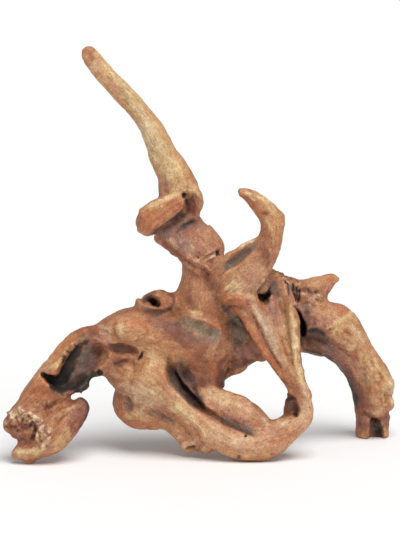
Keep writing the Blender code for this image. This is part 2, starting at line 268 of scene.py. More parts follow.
def shape(rows, height, crisp=0.0, ends=0.2, side="front", inward=0.0, wall=0.0, reach=14):
    """Raises the skin by height mm along a mark, or cuts it where height is below 0. Crisp 1 gives a sharp
    crest or bottom, and wall a flat one out to that share of the width. Ends is the share of the length over
    which it fades. Inward 1 pushes straight along the view, not square to the skin."""
    index, out, share, close = touched(rows, side, reach)
    profile = (1 - crisp) * (1 - out**2) ** 2 + crisp * (1 - out) ** 1.5
    if wall:
        profile = 1 - ease(out, wall, 1)
    taper = 1
    if ends and len(rows) > 1:
        taper = ease(share, END_START, ends) * ease(1 - share, END_START, ends)
    push = facing[index] * (1 - inward) - np.array(LOOKS[side]) * inward
    place[index] += push * (height * MM * profile * taper * close)[:, None]


def stain_and_shade(tone, strength, rows, side="front", ends=0.15, soft=1.0, reach=16):
    """Notes a band of another tone, whether a stain, painted shade or a painted highlight, which is laid on
    the finished skin where it is seen from that side.
    """
    stains_and_shades.append((tone, strength, rows, side, ends, soft, reach))


def grow(*rows):
    """Notes the way the fibres run through a limb: (across, back, seen, half width) in mm."""
    fibres.append(rows)


grow((-114, -4, 400, 8), (-94, -9, 374, 10), (-62, -18, 339, 11), (-45, -22, 316, 13), (-30, -25, 285, 16),
     (-20, -26, 255, 19), (-12, -22, 228, 20), (-2, -22, 205, 22), (4, -22, 185, 20), (0, -22, 160, 22),
     (2, -20, 128, 30), (2, -14, 90, 32), (8, -20, 60, 20))
shape([(101, 62, 5), (118, 84, 5), (134, 104, 6), (147, 124, 6), (158, 146, 6), (166, 170, 6)], 0.9, 0.6)
shape([(112, 70, 3), (130, 91, 3), (146, 111, 4), (158, 130, 4)], -0.7, 0.3)
shape([(91, 73, 4), (93, 77, 3.5)], 3.0, 0.2, 0, reach=40)
shape([(99, 83, 3), (103, 88, 3)], -2.2, 0.2, 0, reach=40)
shape([(157, 192, 5), (156, 197, 5)], 3.0, 0.0, 0, reach=30)
shape([(149, 150, 2), (155, 153, 2), (160, 159, 2), (165, 166, 2)], -1.0, 0.7)
shape([(88, 50, 2.5), (91, 60, 2.5), (94, 70, 2)], -1.3, 0.7)
shape([(160, 172, 5), (164, 184, 6), (166, 196, 5)], -1.6, 0.2)
for u, v, rise in (
    (112, 83, 1), (118, 91, 1), (113, 91, -1), (123, 98, 1), (106, 80, -0.7), (119, 84, -0.8),
):
    shape([(u, v, 3)], rise, 0.3)
stain_and_shade(OCHRE, 0.95, [(86, 50, 11), (100, 70, 14), (130, 100, 16), (155, 140, 19), (175, 180, 24),
                    (192, 205, 14)])
stain_and_shade(PEACH, 0.7, [(86, 50, 9), (92, 60, 8), (100, 72, 7)])
stain_and_shade(BLOND, 0.9, [(98, 56, 6), (109, 68, 8), (122, 84, 9), (134, 100, 9), (143, 116, 9), (152, 132, 12),
                   (161, 148, 14), (169, 164, 13), (176, 180, 12), (181, 192, 10)])
stain_and_shade(STRAW, 0.95, [(112, 74, 3), (126, 92, 4), (138, 110, 6), (148, 130, 8), (156, 148, 9), (166, 166, 8),
                    (174, 182, 6)])
stain_and_shade(TAN, 0.85, [(98, 74, 5), (110, 88, 5), (120, 100, 4)])
stain_and_shade(TAN, 0.6, [(126, 104, 3), (134, 118, 3), (140, 132, 3)])
stain_and_shade(PEACH, 0.7, [(106, 80, 4), (114, 86, 5), (121, 96, 5)])
stain_and_shade(RUST, 0.8, [(97, 82, 1.5), (106, 92, 2.2), (116, 103, 2.6), (125, 112, 2.2), (134, 123, 1.8),
                  (141, 135, 1.2)])
stain_and_shade(TAN, 0.7, [(146, 104, 4), (156, 118, 4), (164, 132, 4), (172, 148, 4), (182, 162, 5)])
stain_and_shade(TAN, 0.6, [(152, 152, 2.5), (157, 166, 4), (161, 180, 5), (165, 194, 5)])
stain_and_shade(ROSE, 0.7, [(162, 180, 4), (165, 190, 5), (160, 200, 4)])
stain_and_shade(OCHRE, 0.7, [(180, 156, 4), (188, 170, 5), (195, 182, 5), (200, 192, 4)])
stain_and_shade(BLOND, 0.6, [(176, 166, 5), (180, 178, 7), (184, 188, 6)])
stain_and_shade(CREAM, 0.6, [(136, 104, 3), (144, 120, 4), (152, 138, 5), (158, 154, 5), (166, 168, 4)])
stain_and_shade(CREAM, 0.75, [(92, 61, 2.5), (95, 68, 2.5)])
stain_and_shade(RUST, 0.6, [(89, 48, 2), (91, 56, 2.2), (92, 64, 1.8)])
stain_and_shade(SIENNA, 0.8, [(149, 150, 0.8), (154, 153, 1), (160, 159, 0.8), (165, 166, 0.6)])
shape([(97, 77, 2), (99, 79, 1.6)], 2.4, 0.4, reach=40)
stain_and_shade(BLOND, 0.6, [(150, 126, 3), (157, 142, 4), (163, 156, 4), (170, 170, 4)])
stain_and_shade(STRAW, 0.7, [(150, 140, 3), (157, 156, 4), (164, 168, 5)])


# ---- The lip and the ear ----
# The horn's foot rolls over into a ledge with a flat orange face and a painted highlight on its upper edge,
# and folds back at the right as an ear round a rotted hole, with painted shade in it and under the ledge.

# The dusk, charcoal and black tones are painted shade, laid in holes, cracks, grooves, gaps and under ledges.
# Umber and mauve serve both as the wood's own dark tones and as painted shade.
UMBER = (0.17, 0.075, 0.045)
SHADE_DUSK = (0.16, 0.095, 0.075)
EMBER = (0.52, 0.19, 0.085)
MAROON = (0.22, 0.08, 0.052)
SHADE_CHARCOAL = (0.035, 0.028, 0.022)
SHADE_BLACK = (0.010, 0.007, 0.006)

grow((-60, -41, 225, 11), (-40, -44, 238, 11), (-20, -42, 250, 9), (-8, -36, 256, 8), (-2, -34, 246, 6),
     (-8, -32, 232, 6))
shape([(140, 229, 4.5), (146, 232, 4.5), (152, 233, 4)], 3.2, 0.2, 0)
shape([(141, 211, 4)], 1.5)
shape([(145, 222, 7), (157, 215, 7), (170, 208, 6), (182, 201, 5)], -1.7, wall=0.5)
shape([(140, 212, 3), (149, 205, 3), (160, 200, 3), (172, 196, 3), (183, 191, 3)], 1.6, 0.6)
shape([(146, 232, 2.5), (156, 226, 2.5), (166, 219, 2.5), (176, 212, 2.5), (185, 206, 2)], 1.4, 0.7)
shape([(153, 236, 3), (162, 230, 4), (172, 223, 4), (182, 216, 4), (190, 213, 3)], -3, 0.2, inward=0.8)
shape([(184.5, 195, 2.8)], -6, 0.3, inward=1)
shape([(186, 198, 2.5), (188, 206, 2.5), (187, 212, 3)], -1.6, 0.3, inward=1)
shape([(191, 189, 3), (198, 194, 3), (201, 203, 3), (198, 212, 3)], 1.6, 0.4)
shape([(193, 200, 3), (195, 208, 3)], -1.6, 0.2)
shape([(197, 213, 4), (195, 217, 4)], 2.6, 0.1, 0, reach=30)
shape([(198, 217, 3), (203, 219, 4), (210, 225, 4)], -2.2, 0.0, 0.1, reach=40)
stain_and_shade(EMBER, 0.95, [(142, 222, 12), (156, 216, 10), (170, 208, 9), (182, 201, 5)])
stain_and_shade(OCHRE, 0.6, [(150, 214, 4), (162, 209, 4), (174, 203, 3)])
stain_and_shade(RUST, 0.55, [(142, 231, 3.5), (147, 222, 4), (154, 224, 3.5)])
stain_and_shade(RUST, 0.5, [(166, 207, 3), (177, 203, 3)])
# The tan, blond and cream bands along the ledge's upper edge are a painted highlight.
stain_and_shade(TAN, 0.9, [(139, 213, 3), (146, 207, 3.5), (156, 203, 3.5), (168, 198, 3.5), (178, 193, 3.5),
                 (187, 189, 4)])
stain_and_shade(BLOND, 0.7, [(142, 210, 1.6), (152, 204, 2), (164, 199, 1.6), (176, 194, 1.6)])
stain_and_shade(CREAM, 0.25, [(150, 204, 2), (162, 200, 2), (172, 196, 2)])
stain_and_shade(CREAM, 0.5, [(158, 227, 1), (168, 220, 1), (178, 213, 1)])
# The maroon in the ear, the umber and black in and below the hole, and the dusk and charcoal bands under the
# ledge are painted shade.
stain_and_shade(MAROON, 1.0, [(189, 198, 3), (193, 206, 5.5), (190, 214, 5)], soft=0.6)
stain_and_shade(SIENNA, 0.85, [(195, 193, 1.5), (199.5, 199, 1.6), (200, 206, 1.8), (197, 213, 1.6)])
stain_and_shade(BLOND, 0.6, [(188, 188, 4), (196, 190, 3), (200, 196, 1.5)])
stain_and_shade(SHADE_DUSK, 0.95, [(151, 236, 3), (162, 231, 5), (172, 225, 6.5), (182, 219, 7), (189, 216, 5)])
stain_and_shade(SHADE_CHARCOAL, 0.7, [(156, 231, 0.8), (166, 224, 1.2), (176, 217, 1.4), (184, 211, 1.6)])
stain_and_shade(UMBER, 0.9, [(186, 199, 1.2), (188, 206, 1.8), (187, 213, 1.6)])
stain_and_shade(SHADE_BLACK, 0.8, [(186, 198, 0.6), (187, 204, 0.6)])
stain_and_shade(SHADE_BLACK, 1.0, [(184.5, 195, 2.2)])


# ---- The shank and its seam ----
# Below the lip the root swells like a knee, with smooth rosy skin, and a twisted collar of fibres marks
# where it was wrung as it grew.

MAUVE = (0.31, 0.165, 0.135)
BRICK = (0.31, 0.12, 0.068)

tears = []


def tear(strength, rows):
    """Notes where the skin is torn into fibres, or barky."""
    tears.append((strength, rows))


def thinner(rows, width):
    """The same mark with one half width all along."""
    return [(u, v, width) for u, v, _ in rows]


shape([(157, 237, 6), (162, 241, 5)], 4.5, 0.0, 0)
shape([(170, 251, 5), (177, 257, 4)], 1.2)
shape([(195, 220, 2.2), (189, 223, 2.2), (183, 226, 2.4), (178, 229, 2.4), (175, 234, 2)],
      -2.8, 0.6, 0.1, inward=0.6)
shape([(179, 232, 3), (185, 230, 3), (192, 226, 3)], 1.2, 0.3)
shape([(171, 240, 3.5)], 1.0)
shape([(182, 241, 3.5)], 1.4)
shape([(178, 244, 1.8), (177, 252, 1.8)], -1.0, 0.6)
shape([(181, 258, 2), (187, 261, 2.2), (194, 266, 2.2), (203, 270, 2.2), (212, 276, 2.2)], -2.4, 0.7)
for tone, rows in (
    (PEACH, [(184, 254, 2), (190, 258, 2), (198, 262, 2), (206, 266, 2), (213, 272, 2)]),
    (CREAM, [(217, 248, 1.6), (210, 252, 1.8), (203, 257, 1.8), (197, 261, 1.6)]),
    (CREAM, [(217, 255, 1.6), (210, 258, 1.8), (203, 262, 1.6)]),
    (PEACH, [(187, 266, 1.6), (195, 271, 1.8), (203, 277, 1.6)]),
):
    shape(rows, 2.2, 0.4)
    stain_and_shade(tone, 0.7, thinner(rows, 0.7))
for rows in (
    [(214, 253, 1.6), (206, 256, 1.6), (200, 260, 1.6)],
    [(190, 254, 1.6), (199, 257, 1.6), (206, 255, 1.6)],
):
    shape(rows, -2.0, 0.5)
    stain_and_shade(MAROON, 0.7, thinner(rows, 0.6))
shape([(217, 250, 3.5), (219, 256, 3)], -3, 0.5)
tear(0.7, [(182, 258, 5), (195, 263, 7), (206, 268, 8), (216, 262, 6)])
stain_and_shade(ROSE, 0.95, [(165, 240, 14), (188, 240, 20), (205, 240, 18), (205, 252, 14)])
stain_and_shade(PEACH, 0.75, [(194, 234, 6), (204, 238, 8), (212, 246, 6)])
stain_and_shade(SIENNA, 0.7, [(190, 238, 5), (200, 236, 6), (210, 240, 6), (216, 248, 4)])
# This mauve band at the collar is painted shade.
stain_and_shade(MAUVE, 0.7, [(190, 226, 3), (197, 225, 4), (204, 229, 2.5)])
stain_and_shade(PEACH, 0.5, [(184, 238, 2.5), (194, 246, 3)])
# This mauve band under the lip is painted shade.
stain_and_shade(MAUVE, 0.95, [(160, 236, 6), (172, 231, 6), (182, 226, 5), (192, 222, 3)])
stain_and_shade(MAUVE, 0.6, [(178, 236, 4), (182, 246, 4), (190, 251, 4)])
stain_and_shade(EMBER, 0.85, [(150, 236, 3), (158, 242, 4), (167, 249, 4), (176, 256, 4), (183, 261, 3)])
stain_and_shade(RUST, 0.85, [(157, 241, 1.5), (165, 247, 2), (171, 250, 2.5), (176, 255, 2)])
# These cream spots on the knee are painted highlights.
stain_and_shade(CREAM, 0.5, [(168, 239, 2.5), (173, 243, 3), (176, 249, 2.5)])
stain_and_shade(CREAM, 0.3, [(184, 247, 3), (192, 250, 3.5), (188, 255, 2.5)])
stain_and_shade(CREAM, 0.7, [(178, 238, 0.6), (181, 240, 0.8), (182, 243, 0.6)])
# The dusk and charcoal in the curved crease are painted shade.
stain_and_shade(SHADE_DUSK, 0.95, [(196, 219, 2), (190, 223, 2.4), (183, 227, 2.4), (178, 231, 2), (176, 235, 1.2)])
stain_and_shade(SHADE_CHARCOAL, 0.6, [(193, 221, 0.4), (187, 224, 0.8), (182, 227, 0.8)])
stain_and_shade(SIENNA, 0.7, [(200, 223, 2), (208, 229, 2.5), (215, 238, 2)])
stain_and_shade(MAROON, 0.8, [(181, 258, 0.8), (187, 261, 1), (194, 266, 1), (203, 270, 1), (212, 276, 1)])
# The black in the notch is painted shade.
stain_and_shade(SHADE_BLACK, 0.9, [(217, 250, 1.8), (219, 256, 1.8)])
stain_and_shade(BRICK, 0.8, [(156, 238, 2.5), (166, 246, 4), (176, 254, 4), (186, 261, 3)])
stain_and_shade(MAROON, 0.5, [(162, 241, 1.5), (172, 249, 2), (181, 257, 1.5)])
stain_and_shade(MAUVE, 0.6, [(180, 232, 3), (184, 239, 4), (188, 246, 3)])


# ---- The trunk ----
# The stem between the seam and the chest, wrung a little, with a worn boss at its left and a weathered
# side towards the wing.

shape([(206, 272, 4), (209, 282, 4), (214, 292, 4)], -1.4, 0.2)
shape([(190, 284, 6), (194, 294, 7), (192, 304, 5)], 1.2, 0.2)
shape([(182, 268, 3), (180, 285, 3), (178, 302, 3)], -0.8, 0.4)
shape([(186, 308, 3), (198, 310, 3), (210, 307, 3)], -1.0, 0.4)
stain_and_shade(SIENNA, 0.95, [(195, 272, 18), (197, 295, 22), (195, 315, 22)])
stain_and_shade(OCHRE, 0.7, [(180, 282, 2.5), (180, 296, 3.5), (180, 310, 4)])
stain_and_shade(BRICK, 0.7, [(184, 266, 4), (194, 272, 4), (204, 276, 4), (210, 280, 4)])
stain_and_shade(MAROON, 0.6, [(200, 266, 2.5), (206, 276, 3), (208, 283, 3), (212, 289, 2.5)])
stain_and_shade(BRICK, 0.8, [(186, 288, 2.5), (189, 296, 4), (186, 304, 3)])
stain_and_shade(TAN, 0.55, [(193, 282, 2.5), (198, 284, 2.5)])
stain_and_shade(OCHRE, 0.7, [(201, 291, 3), (206, 297, 4), (202, 304, 4), (196, 301, 3)])
stain_and_shade(ROSE, 0.5, [(206, 290, 3), (212, 298, 3), (211, 304, 3)])
stain_and_shade(MAUVE, 0.5, [(214, 280, 1.5), (216, 290, 2), (217, 300, 2)])
stain_and_shade(BLOND, 0.7, [(190, 313, 2), (198, 314, 2.5), (203, 312, 1.5)])
stain_and_shade(MAROON, 0.6, [(206, 312, 3), (212, 316, 3)])
stain_and_shade(BRICK, 0.6, [(191, 294, 3.5), (197, 302, 4), (190, 308, 3)])
stain_and_shade(PEACH, 0.5, [(206, 291, 2.5), (210, 299, 3)])
stain_and_shade(PEACH, 0.5, [(212, 292, 3), (218, 297, 2.5)])


# ---- The claw and its wing ----
# A root that grew out and hooked back. Scouring left its wing a thin fan of fibres over a dark hollow,
# with a grey channel along the top and a twisted roll at the bottom.

SLATE = (0.22, 0.17, 0.13)
SHELL = (0.54, 0.345, 0.225)

grow((42, -38, 257, 6), (58, -34, 245, 9), (70, -36, 225, 12), (67, -40, 204, 14), (52, -42, 188, 20),
     (34, -40, 170, 20), (22, -36, 160, 14), (10, -30, 148, 14))
shape([(220, 269, 4), (230, 263, 4.5), (241, 257, 4.5), (252, 248, 4)], -1.5, wall=0.3)
shape([(218, 260, 3), (228, 255, 3), (238, 250, 3), (248, 243, 3), (258, 239, 3)], 1.5, 0.3)
shape([(222, 276, 3), (234, 269, 3), (245, 261, 3), (256, 251, 3)], 1.5, 0.6)
for rows in (
    [(266, 246, 2.2), (252, 262, 2.2), (238, 275, 2.2), (224, 285, 2.2)],
    [(267, 250, 2.2), (256, 265, 2.2), (243, 279, 2.2), (230, 289, 2.2)],
    [(269, 254, 2.2), (260, 268, 2.2), (248, 282, 2.2), (238, 291, 2.2)],
    [(271, 260, 2.2), (264, 273, 2.2), (255, 286, 2.2), (248, 296, 2.2)],
):
    shape(rows, -1.6, 0.8)
    stain_and_shade(RUST, 0.5, thinner(rows, 0.5))
shape([(281, 216, 6), (282, 223, 5)], 1.6, 0.0, 0)
shape([(240, 190, 3), (241, 195, 3)], 1.2, 0.0, 0)
shape([(264, 214, 2.5)], -1.4, 0.4)
shape([(269, 213, 2.5)], -1.4, 0.4)
shape([(262, 220, 2), (265, 229, 2.2), (264, 239, 2)], -1.4, 0.6)
shape([(250, 197, 2.5), (256, 201, 2.5)], 1.3, 0.4)
shape([(246, 198, 2), (253, 203, 2), (260, 209, 2)], -1.0, 0.6)
shape([(222, 301, 4), (230, 297, 4.5), (240, 298, 4.5), (247, 304, 3.5)], 3.0, 0.3)
shape([(226, 308, 3), (234, 307, 3), (243, 311, 2.5)], -2.5, 0.5)
shape([(221, 294, 2.2), (231, 291, 2.2), (242, 292, 2.2), (248, 298, 2)], -2.0, 0.6)
stain_and_shade(OCHRE, 0.95, [(243, 195, 10), (262, 205, 12), (272, 225, 15), (268, 245, 14)])
stain_and_shade(EMBER, 0.95, [(240, 193, 5), (247, 201, 5), (256, 209, 5), (262, 217, 3.5)])
stain_and_shade(RUST, 0.9, [(240, 195, 2), (249, 201, 2.2), (256, 207, 2.2), (261, 214, 2)])
stain_and_shade(BRICK, 0.9, [(262, 212, 1.4), (268, 215, 1.8)])
stain_and_shade(MAROON, 0.5, [(264, 213, 0.8), (269, 216, 0.8)])
stain_and_shade(BRICK, 0.8, [(262, 221, 1.2), (264, 230, 2), (263, 238, 2)])
stain_and_shade(BLOND, 0.8, [(255, 194, 2.5), (265, 200, 3.5), (272, 207, 3.5), (277, 214, 3)])
stain_and_shade(OCHRE, 0.7, [(276, 218, 4), (279, 228, 4), (274, 234, 3.5)])
stain_and_shade(BLOND, 0.5, [(268, 224, 2.5), (272, 232, 3)])
# These two cream spots at the claw's tip are painted highlights.
stain_and_shade(CREAM, 1.0, [(245, 192, 1.5), (251, 194, 1.2)])
stain_and_shade(CREAM, 0.9, [(251, 199, 0.8), (255, 200, 1)])
stain_and_shade(CREAM, 0.8, [(264, 219, 1), (268, 222, 1.2)])
stain_and_shade(SIENNA, 0.95, [(266, 240, 7), (267, 252, 8), (264, 262, 7), (256, 252, 5)])
stain_and_shade(MAROON, 0.7, [(262, 242, 2.5), (264, 250, 3.5), (266, 262, 3), (264, 270, 2.5)])
stain_and_shade(BRICK, 0.7, [(264, 226, 3), (268, 234, 3), (262, 246, 3), (256, 250, 3)])
stain_and_shade(PEACH, 0.95, [(262, 264, 6), (252, 272, 12), (238, 282, 12), (252, 288, 12)])
stain_and_shade(SHELL, 0.7, [(248, 278, 4), (254, 284, 5), (256, 290, 4)])
stain_and_shade(ROSE, 0.6, [(256, 266, 4), (250, 274, 5), (244, 282, 3)])
stain_and_shade(CREAM, 0.6, [(268, 276, 2), (263, 284, 3), (258, 292, 3)])
stain_and_shade(OCHRE, 0.8, [(250, 260, 3), (238, 269, 3.5), (226, 277, 4), (222, 284, 3)])
stain_and_shade(BLOND, 0.85, [(224, 289, 3), (232, 285, 3.5), (238, 282, 3)])
stain_and_shade(BLOND, 0.8, [(228, 293, 1.6), (234, 289, 1.6), (242, 289, 1.6)])
stain_and_shade(CREAM, 0.8, [(246, 294, 3), (251, 297, 3), (256, 299, 1.5)])
stain_and_shade(SLATE, 1.0, [(222, 270, 2), (228, 266, 3.2), (240, 258, 3.5), (250, 249, 3), (257, 243, 1.5)])
# Dusk in the grey channel is painted shade.
stain_and_shade(SHADE_DUSK, 0.3, [(228, 264, 1.5), (238, 258, 1.5), (248, 251, 1.5)])
stain_and_shade(PEACH, 0.7, [(212, 264, 4), (220, 261, 3), (228, 256, 2)])
stain_and_shade(TAN, 0.7, [(226, 255, 1.5), (236, 250, 1.5), (244, 245, 1)])
stain_and_shade(CREAM, 0.9, [(240, 247, 1.2), (247, 242, 2), (254, 239, 1.5)])
stain_and_shade(EMBER, 0.95, [(221, 301, 4), (231, 298, 4), (244, 302, 3.5)])
stain_and_shade(RUST, 0.6, [(226, 302, 2), (236, 300, 2.5)])
# The maroon under the roll is a painted shadow.
stain_and_shade(MAROON, 0.85, [(227, 307, 1.5), (235, 307, 2), (243, 310, 1.5)])


# ---- The dark hollow behind the wing ----
# Rot has eaten a hollow between the wing, the strap and the far arm. Its walls are painted black and dusky as
# shade, and a shelf of skin is left along the wing's edge.


def sink(rows, wall=0.5, reach=35):
    """Opens a hollow along (u, v, half width, back) rows of the front sheet, down to a floor back mm behind
    the middle plane. Only skin within reach mm in front of the floor gives way."""
    fine = np.array(smooth_line(rows, ROW_STEP))
    flat = sheets["front"][0]
    away = np.linalg.norm(flat[:, None, :] - fine[None, :, :2], axis=2) / fine[None, :, 2]
    nearest = away.argmin(1)
    share = 1 - ease(away[np.arange(len(flat)), nearest], wall, 1)
    gap = (fine[nearest, 3] + SHIFT[1]) * MM - place[:, 1]
    gap[(gap < 0) | (gap > reach * MM)] = 0
    place[:] += (gap * share / AWAY.y)[:, None] * np.array(AWAY)


sink([(264, 299, 2.4, -30), (268, 295, 2.8, -32), (272, 290, 2.4, -39)], 0.6)
sink([(272, 301, 2.5, -41), (275, 294, 3, -42), (278, 286, 2.5, -44)], 0.2)
stain_and_shade(MAUVE, 0.8, [(276, 282, 4), (277, 292, 4), (274, 302, 3.5)])
# The dusk, umber and black marks are painted shade in the hollow and along the wing's edge.
stain_and_shade(SHADE_DUSK, 0.95, [(268, 306, 1), (268, 298, 2.5), (270, 290, 3.5), (273, 283, 3)])
stain_and_shade(UMBER, 0.9, [(270, 286, 2.5), (275, 281, 2.5)])
stain_and_shade(SHADE_BLACK, 1.0, [(262, 301, 1.2), (265, 297, 2.4), (268, 292, 1.6), (272, 286, 0.8), (275, 281, 0.5)])
stain_and_shade(UMBER, 0.8, [(264, 303, 0.6), (269, 309, 0.8)])
stain_and_shade(SHADE_DUSK, 0.8, [(270, 291, 2), (274, 286, 2.5), (277, 282, 2)])
stain_and_shade(PEACH, 0.9, [(269, 282, 1.6), (264.5, 287, 1.8), (259.5, 292, 1.8)])
stain_and_shade(SHADE_BLACK, 1.0, [(260, 298, 1.6), (264, 294.5, 1), (269, 289.5, 0.6), (273, 284, 0.3)], soft=0.5)


# ---- The strap ----
# A flat root that crosses in front of the far arm and runs down into the loop, in three long folds:
# an orange one, a broad pale one and a blond one, with the skin gone from their crests.

grow((70, -26, 170, 16), (72, -36, 145, 20), (77, -42, 118, 20), (88, -48, 88, 12), (98, -50, 62, 10),
     (105, -48, 44, 9), (100, -49, 28, 10), (80, -50, 16, 16), (56, -51, 6, 16), (30, -51, 10, 16),
     (4, -48, 30, 15), (-20, -43, 52, 17), (-50, -36, 78, 24), (-70, -30, 92, 24))
shape([(238, 309, 6), (246, 321, 6), (254, 335, 6), (263, 349, 5), (272, 362, 4), (281, 375, 3.5),
       (290, 387, 3)], 2.4, 0.2)
shape([(247, 303, 2), (252, 314, 2.2), (259, 328, 2.2), (266, 342, 2.2), (273, 355, 2.2), (281, 367, 2),
       (289, 379, 2)], -2.6, 0.7)
shape([(257, 306, 6), (264, 320, 7), (271, 334, 7.5), (276, 348, 7), (283, 362, 5.5), (290, 375, 4)],
      2.6, wall=0.5)
shape([(279, 308, 5), (282, 320, 5.5), (285, 334, 5), (288, 348, 4.5), (291, 362, 3)], 3.2, 0.0)
shape([(273, 318, 2), (277, 334, 2), (281, 350, 2), (286, 362, 2)], -1.1, 0.7)
shape([(286, 285, 5), (290, 302, 6), (293, 320, 6), (295, 338, 6), (296, 356, 6), (299, 372, 5),
       (306, 390, 4)], 2.2, 0.3)
shape([(290, 350, 1.6), (293, 364, 1.6), (296, 377, 1.6)], -1.4, 0.8)
shape([(296, 345, 1.6), (298, 360, 1.6), (301, 376, 1.6)], -1.1, 0.8)
shape([(301, 371, 4)], 2.6, 0.2)
shape([(282, 377, 2.5), (291, 387, 3), (300, 392, 2.5)], -2.4, 0.6)
stain_and_shade(SIENNA, 0.95, [(250, 312, 14), (262, 336, 16), (278, 362, 14), (294, 388, 10)])
stain_and_shade(EMBER, 0.95, [(234, 306, 4), (243, 317, 4.5), (252, 331, 4.5), (261, 346, 4), (270, 360, 3.5),
                    (281, 375, 3)])
stain_and_shade(PEACH, 0.5, [(240, 309, 1.6), (247, 319, 1.8), (254, 331, 1.4)])
stain_and_shade(RUST, 0.85, [(249, 314, 1.4), (256, 328, 1.8), (263, 342, 1.8), (270, 355, 1.8), (279, 369, 1.8),
                   (287, 381, 1.6)])
stain_and_shade(MAROON, 0.7, [(250, 310, 0.5), (259, 328, 0.8), (266, 342, 0.8), (274, 357, 0.8), (282, 369, 0.8)])
stain_and_shade(SHELL, 0.95, [(251, 302, 2), (257, 311, 3.5), (265, 323, 5.5), (271, 334, 7), (276, 346, 6.5),
                    (281, 358, 4), (286, 370, 2)])
stain_and_shade(CREAM, 0.4, [(251, 303, 1), (256, 312, 1.6), (263, 325, 2), (268, 337, 2)])
stain_and_shade(SLATE, 0.3, [(262, 314, 2), (265, 321, 2.5), (266, 328, 1.5)])
stain_and_shade(PEACH, 0.8, [(279, 322, 3), (284, 336, 3), (287, 352, 3), (290, 366, 2.5)])
stain_and_shade(ROSE, 0.9, [(268, 303, 4), (273, 310, 5.5), (277, 318, 4), (280, 326, 2)])
stain_and_shade(MAUVE, 0.6, [(270, 305, 2.5), (275, 312, 3.5), (277, 319, 2)])
stain_and_shade(OCHRE, 0.6, [(281, 338, 1.4), (284, 350, 2), (288, 362, 1.6)])
stain_and_shade(TAN, 0.6, [(273, 324, 1), (277, 336, 1.4), (281, 350, 1.4), (285, 361, 1)])
stain_and_shade(RUST, 0.65, [(279, 330, 0.8), (283, 344, 1), (288, 357, 1)])
stain_and_shade(PEACH, 0.7, [(283, 286, 3), (284, 300, 3.5)])
stain_and_shade(TAN, 0.8, [(285, 300, 3), (286, 310, 3.5), (288, 322, 3.5)])
stain_and_shade(BLOND, 0.95, [(288, 308, 4), (289, 318, 5.5), (292, 332, 5.5), (294, 348, 5), (296, 362, 4),
                    (300, 377, 4), (308, 391, 3.5)])
stain_and_shade(TAN, 0.75, [(288, 322, 0.8), (290, 338, 0.8), (291, 352, 1), (294, 366, 1), (297, 378, 0.8)])
stain_and_shade(OCHRE, 0.7, [(297, 350, 0.8), (299, 364, 1), (302, 374, 0.8)])
stain_and_shade(CREAM, 0.5, [(288, 316, 2), (293, 330, 1.4), (295, 342, 1.4), (305, 388, 2), (309, 396, 1.6)])
stain_and_shade(RUST, 0.95, [(281, 376, 2), (290, 386, 2.5), (299, 391, 2)])
stain_and_shade(MAROON, 0.7, [(284, 381, 1), (292, 389, 1.4), (300, 394, 1)])
stain_and_shade(PEACH, 0.8, [(283, 297, 2.5), (283, 307, 3)])
stain_and_shade(MAROON, 0.4, [(274, 308, 2.5), (276, 317, 2)])


# ---- The loop and the bar ----
# The strap turns under at the front, stands on its lowest bend and rises to the left as a thick bar,
# rubbed pale along its top and its blond crest.

shape([(303, 396, 3), (306, 408, 3), (305, 420, 3), (298, 430, 3), (286, 437, 3)], -1.0, 0.3)
shape([(298, 396, 3), (301, 406, 3), (299, 416, 3)], 1.2, 0.5)
shape([(309, 390, 3), (311, 398, 2.5)], 1.2, 0.5)
shape([(293, 414, 2.5), (298, 416, 2.5)], -3.5, 0.4)
shape([(263, 418, 3), (266, 426, 3.5), (263, 436, 3)], 1.4, 0.3)
shape([(172, 402, 4.5), (184, 411, 5), (194, 420, 4), (203, 430, 3.5), (208, 442, 3)], 1.9, 0.4)
shape([(150, 378, 4), (162, 392, 4), (172, 402, 4)], 1.0, 0.3)
shape([(174, 412, 3.5), (188, 424, 3.5), (198, 436, 3), (204, 447, 2.5)], -1.8, 0.5)
shape([(182, 418, 2.5), (190, 430, 2.5), (196, 440, 2)], 0.9, 0.4)
shape([(268, 440, 4), (284, 436, 4), (297, 427, 3)], 0.9, 0.2)
stain_and_shade(PEACH, 0.95, [(160, 380, 16), (185, 408, 14), (210, 432, 16), (240, 444, 16), (272, 440, 16),
                    (298, 428, 14), (308, 408, 12), (302, 392, 10)])
stain_and_shade(EMBER, 0.8, [(178, 416, 5), (188, 428, 7), (198, 440, 6)])
stain_and_shade(ROSE, 0.5, [(184, 424, 4), (194, 436, 4)])
stain_and_shade(OCHRE, 0.8, [(212, 449, 5), (232, 456, 5), (256, 457, 5), (276, 451, 5)])
stain_and_shade(EMBER, 0.5, [(268, 444, 5), (282, 439, 6), (296, 430, 5)])
stain_and_shade(ROSE, 0.5, [(270, 430, 4), (280, 436, 4)])
stain_and_shade(BLOND, 0.95, [(169, 401, 5), (180, 409, 6.5), (189, 416, 6), (196, 423, 3), (204, 433, 3),
                    (209, 444, 2.5)])
stain_and_shade(CREAM, 0.5, [(182, 412, 3), (190, 417, 3)])
stain_and_shade(CREAM, 0.45, [(214, 432, 4), (232, 440, 5), (248, 444, 5)])
stain_and_shade(CREAM, 0.7, [(303, 388, 4), (308, 397, 4), (306, 410, 4), (302, 420, 4)])
stain_and_shade(CREAM, 0.6, [(264, 416, 3), (266, 426, 3)])
stain_and_shade(CREAM, 0.5, [(276, 421, 3), (290, 419, 3)])
# The black under the knuckle and in the bore and the pinhole is painted shade.
stain_and_shade(SHADE_BLACK, 0.95, [(293, 413, 1), (298, 415, 1.8)])
stain_and_shade(SHADE_BLACK, 1.0, [(245.5, 436, 0.9)], soft=0.5)
stain_and_shade(SHADE_BLACK, 0.8, [(239, 457, 1.6)])
shape([(245.5, 436, 2.4)], -4, 0.4)


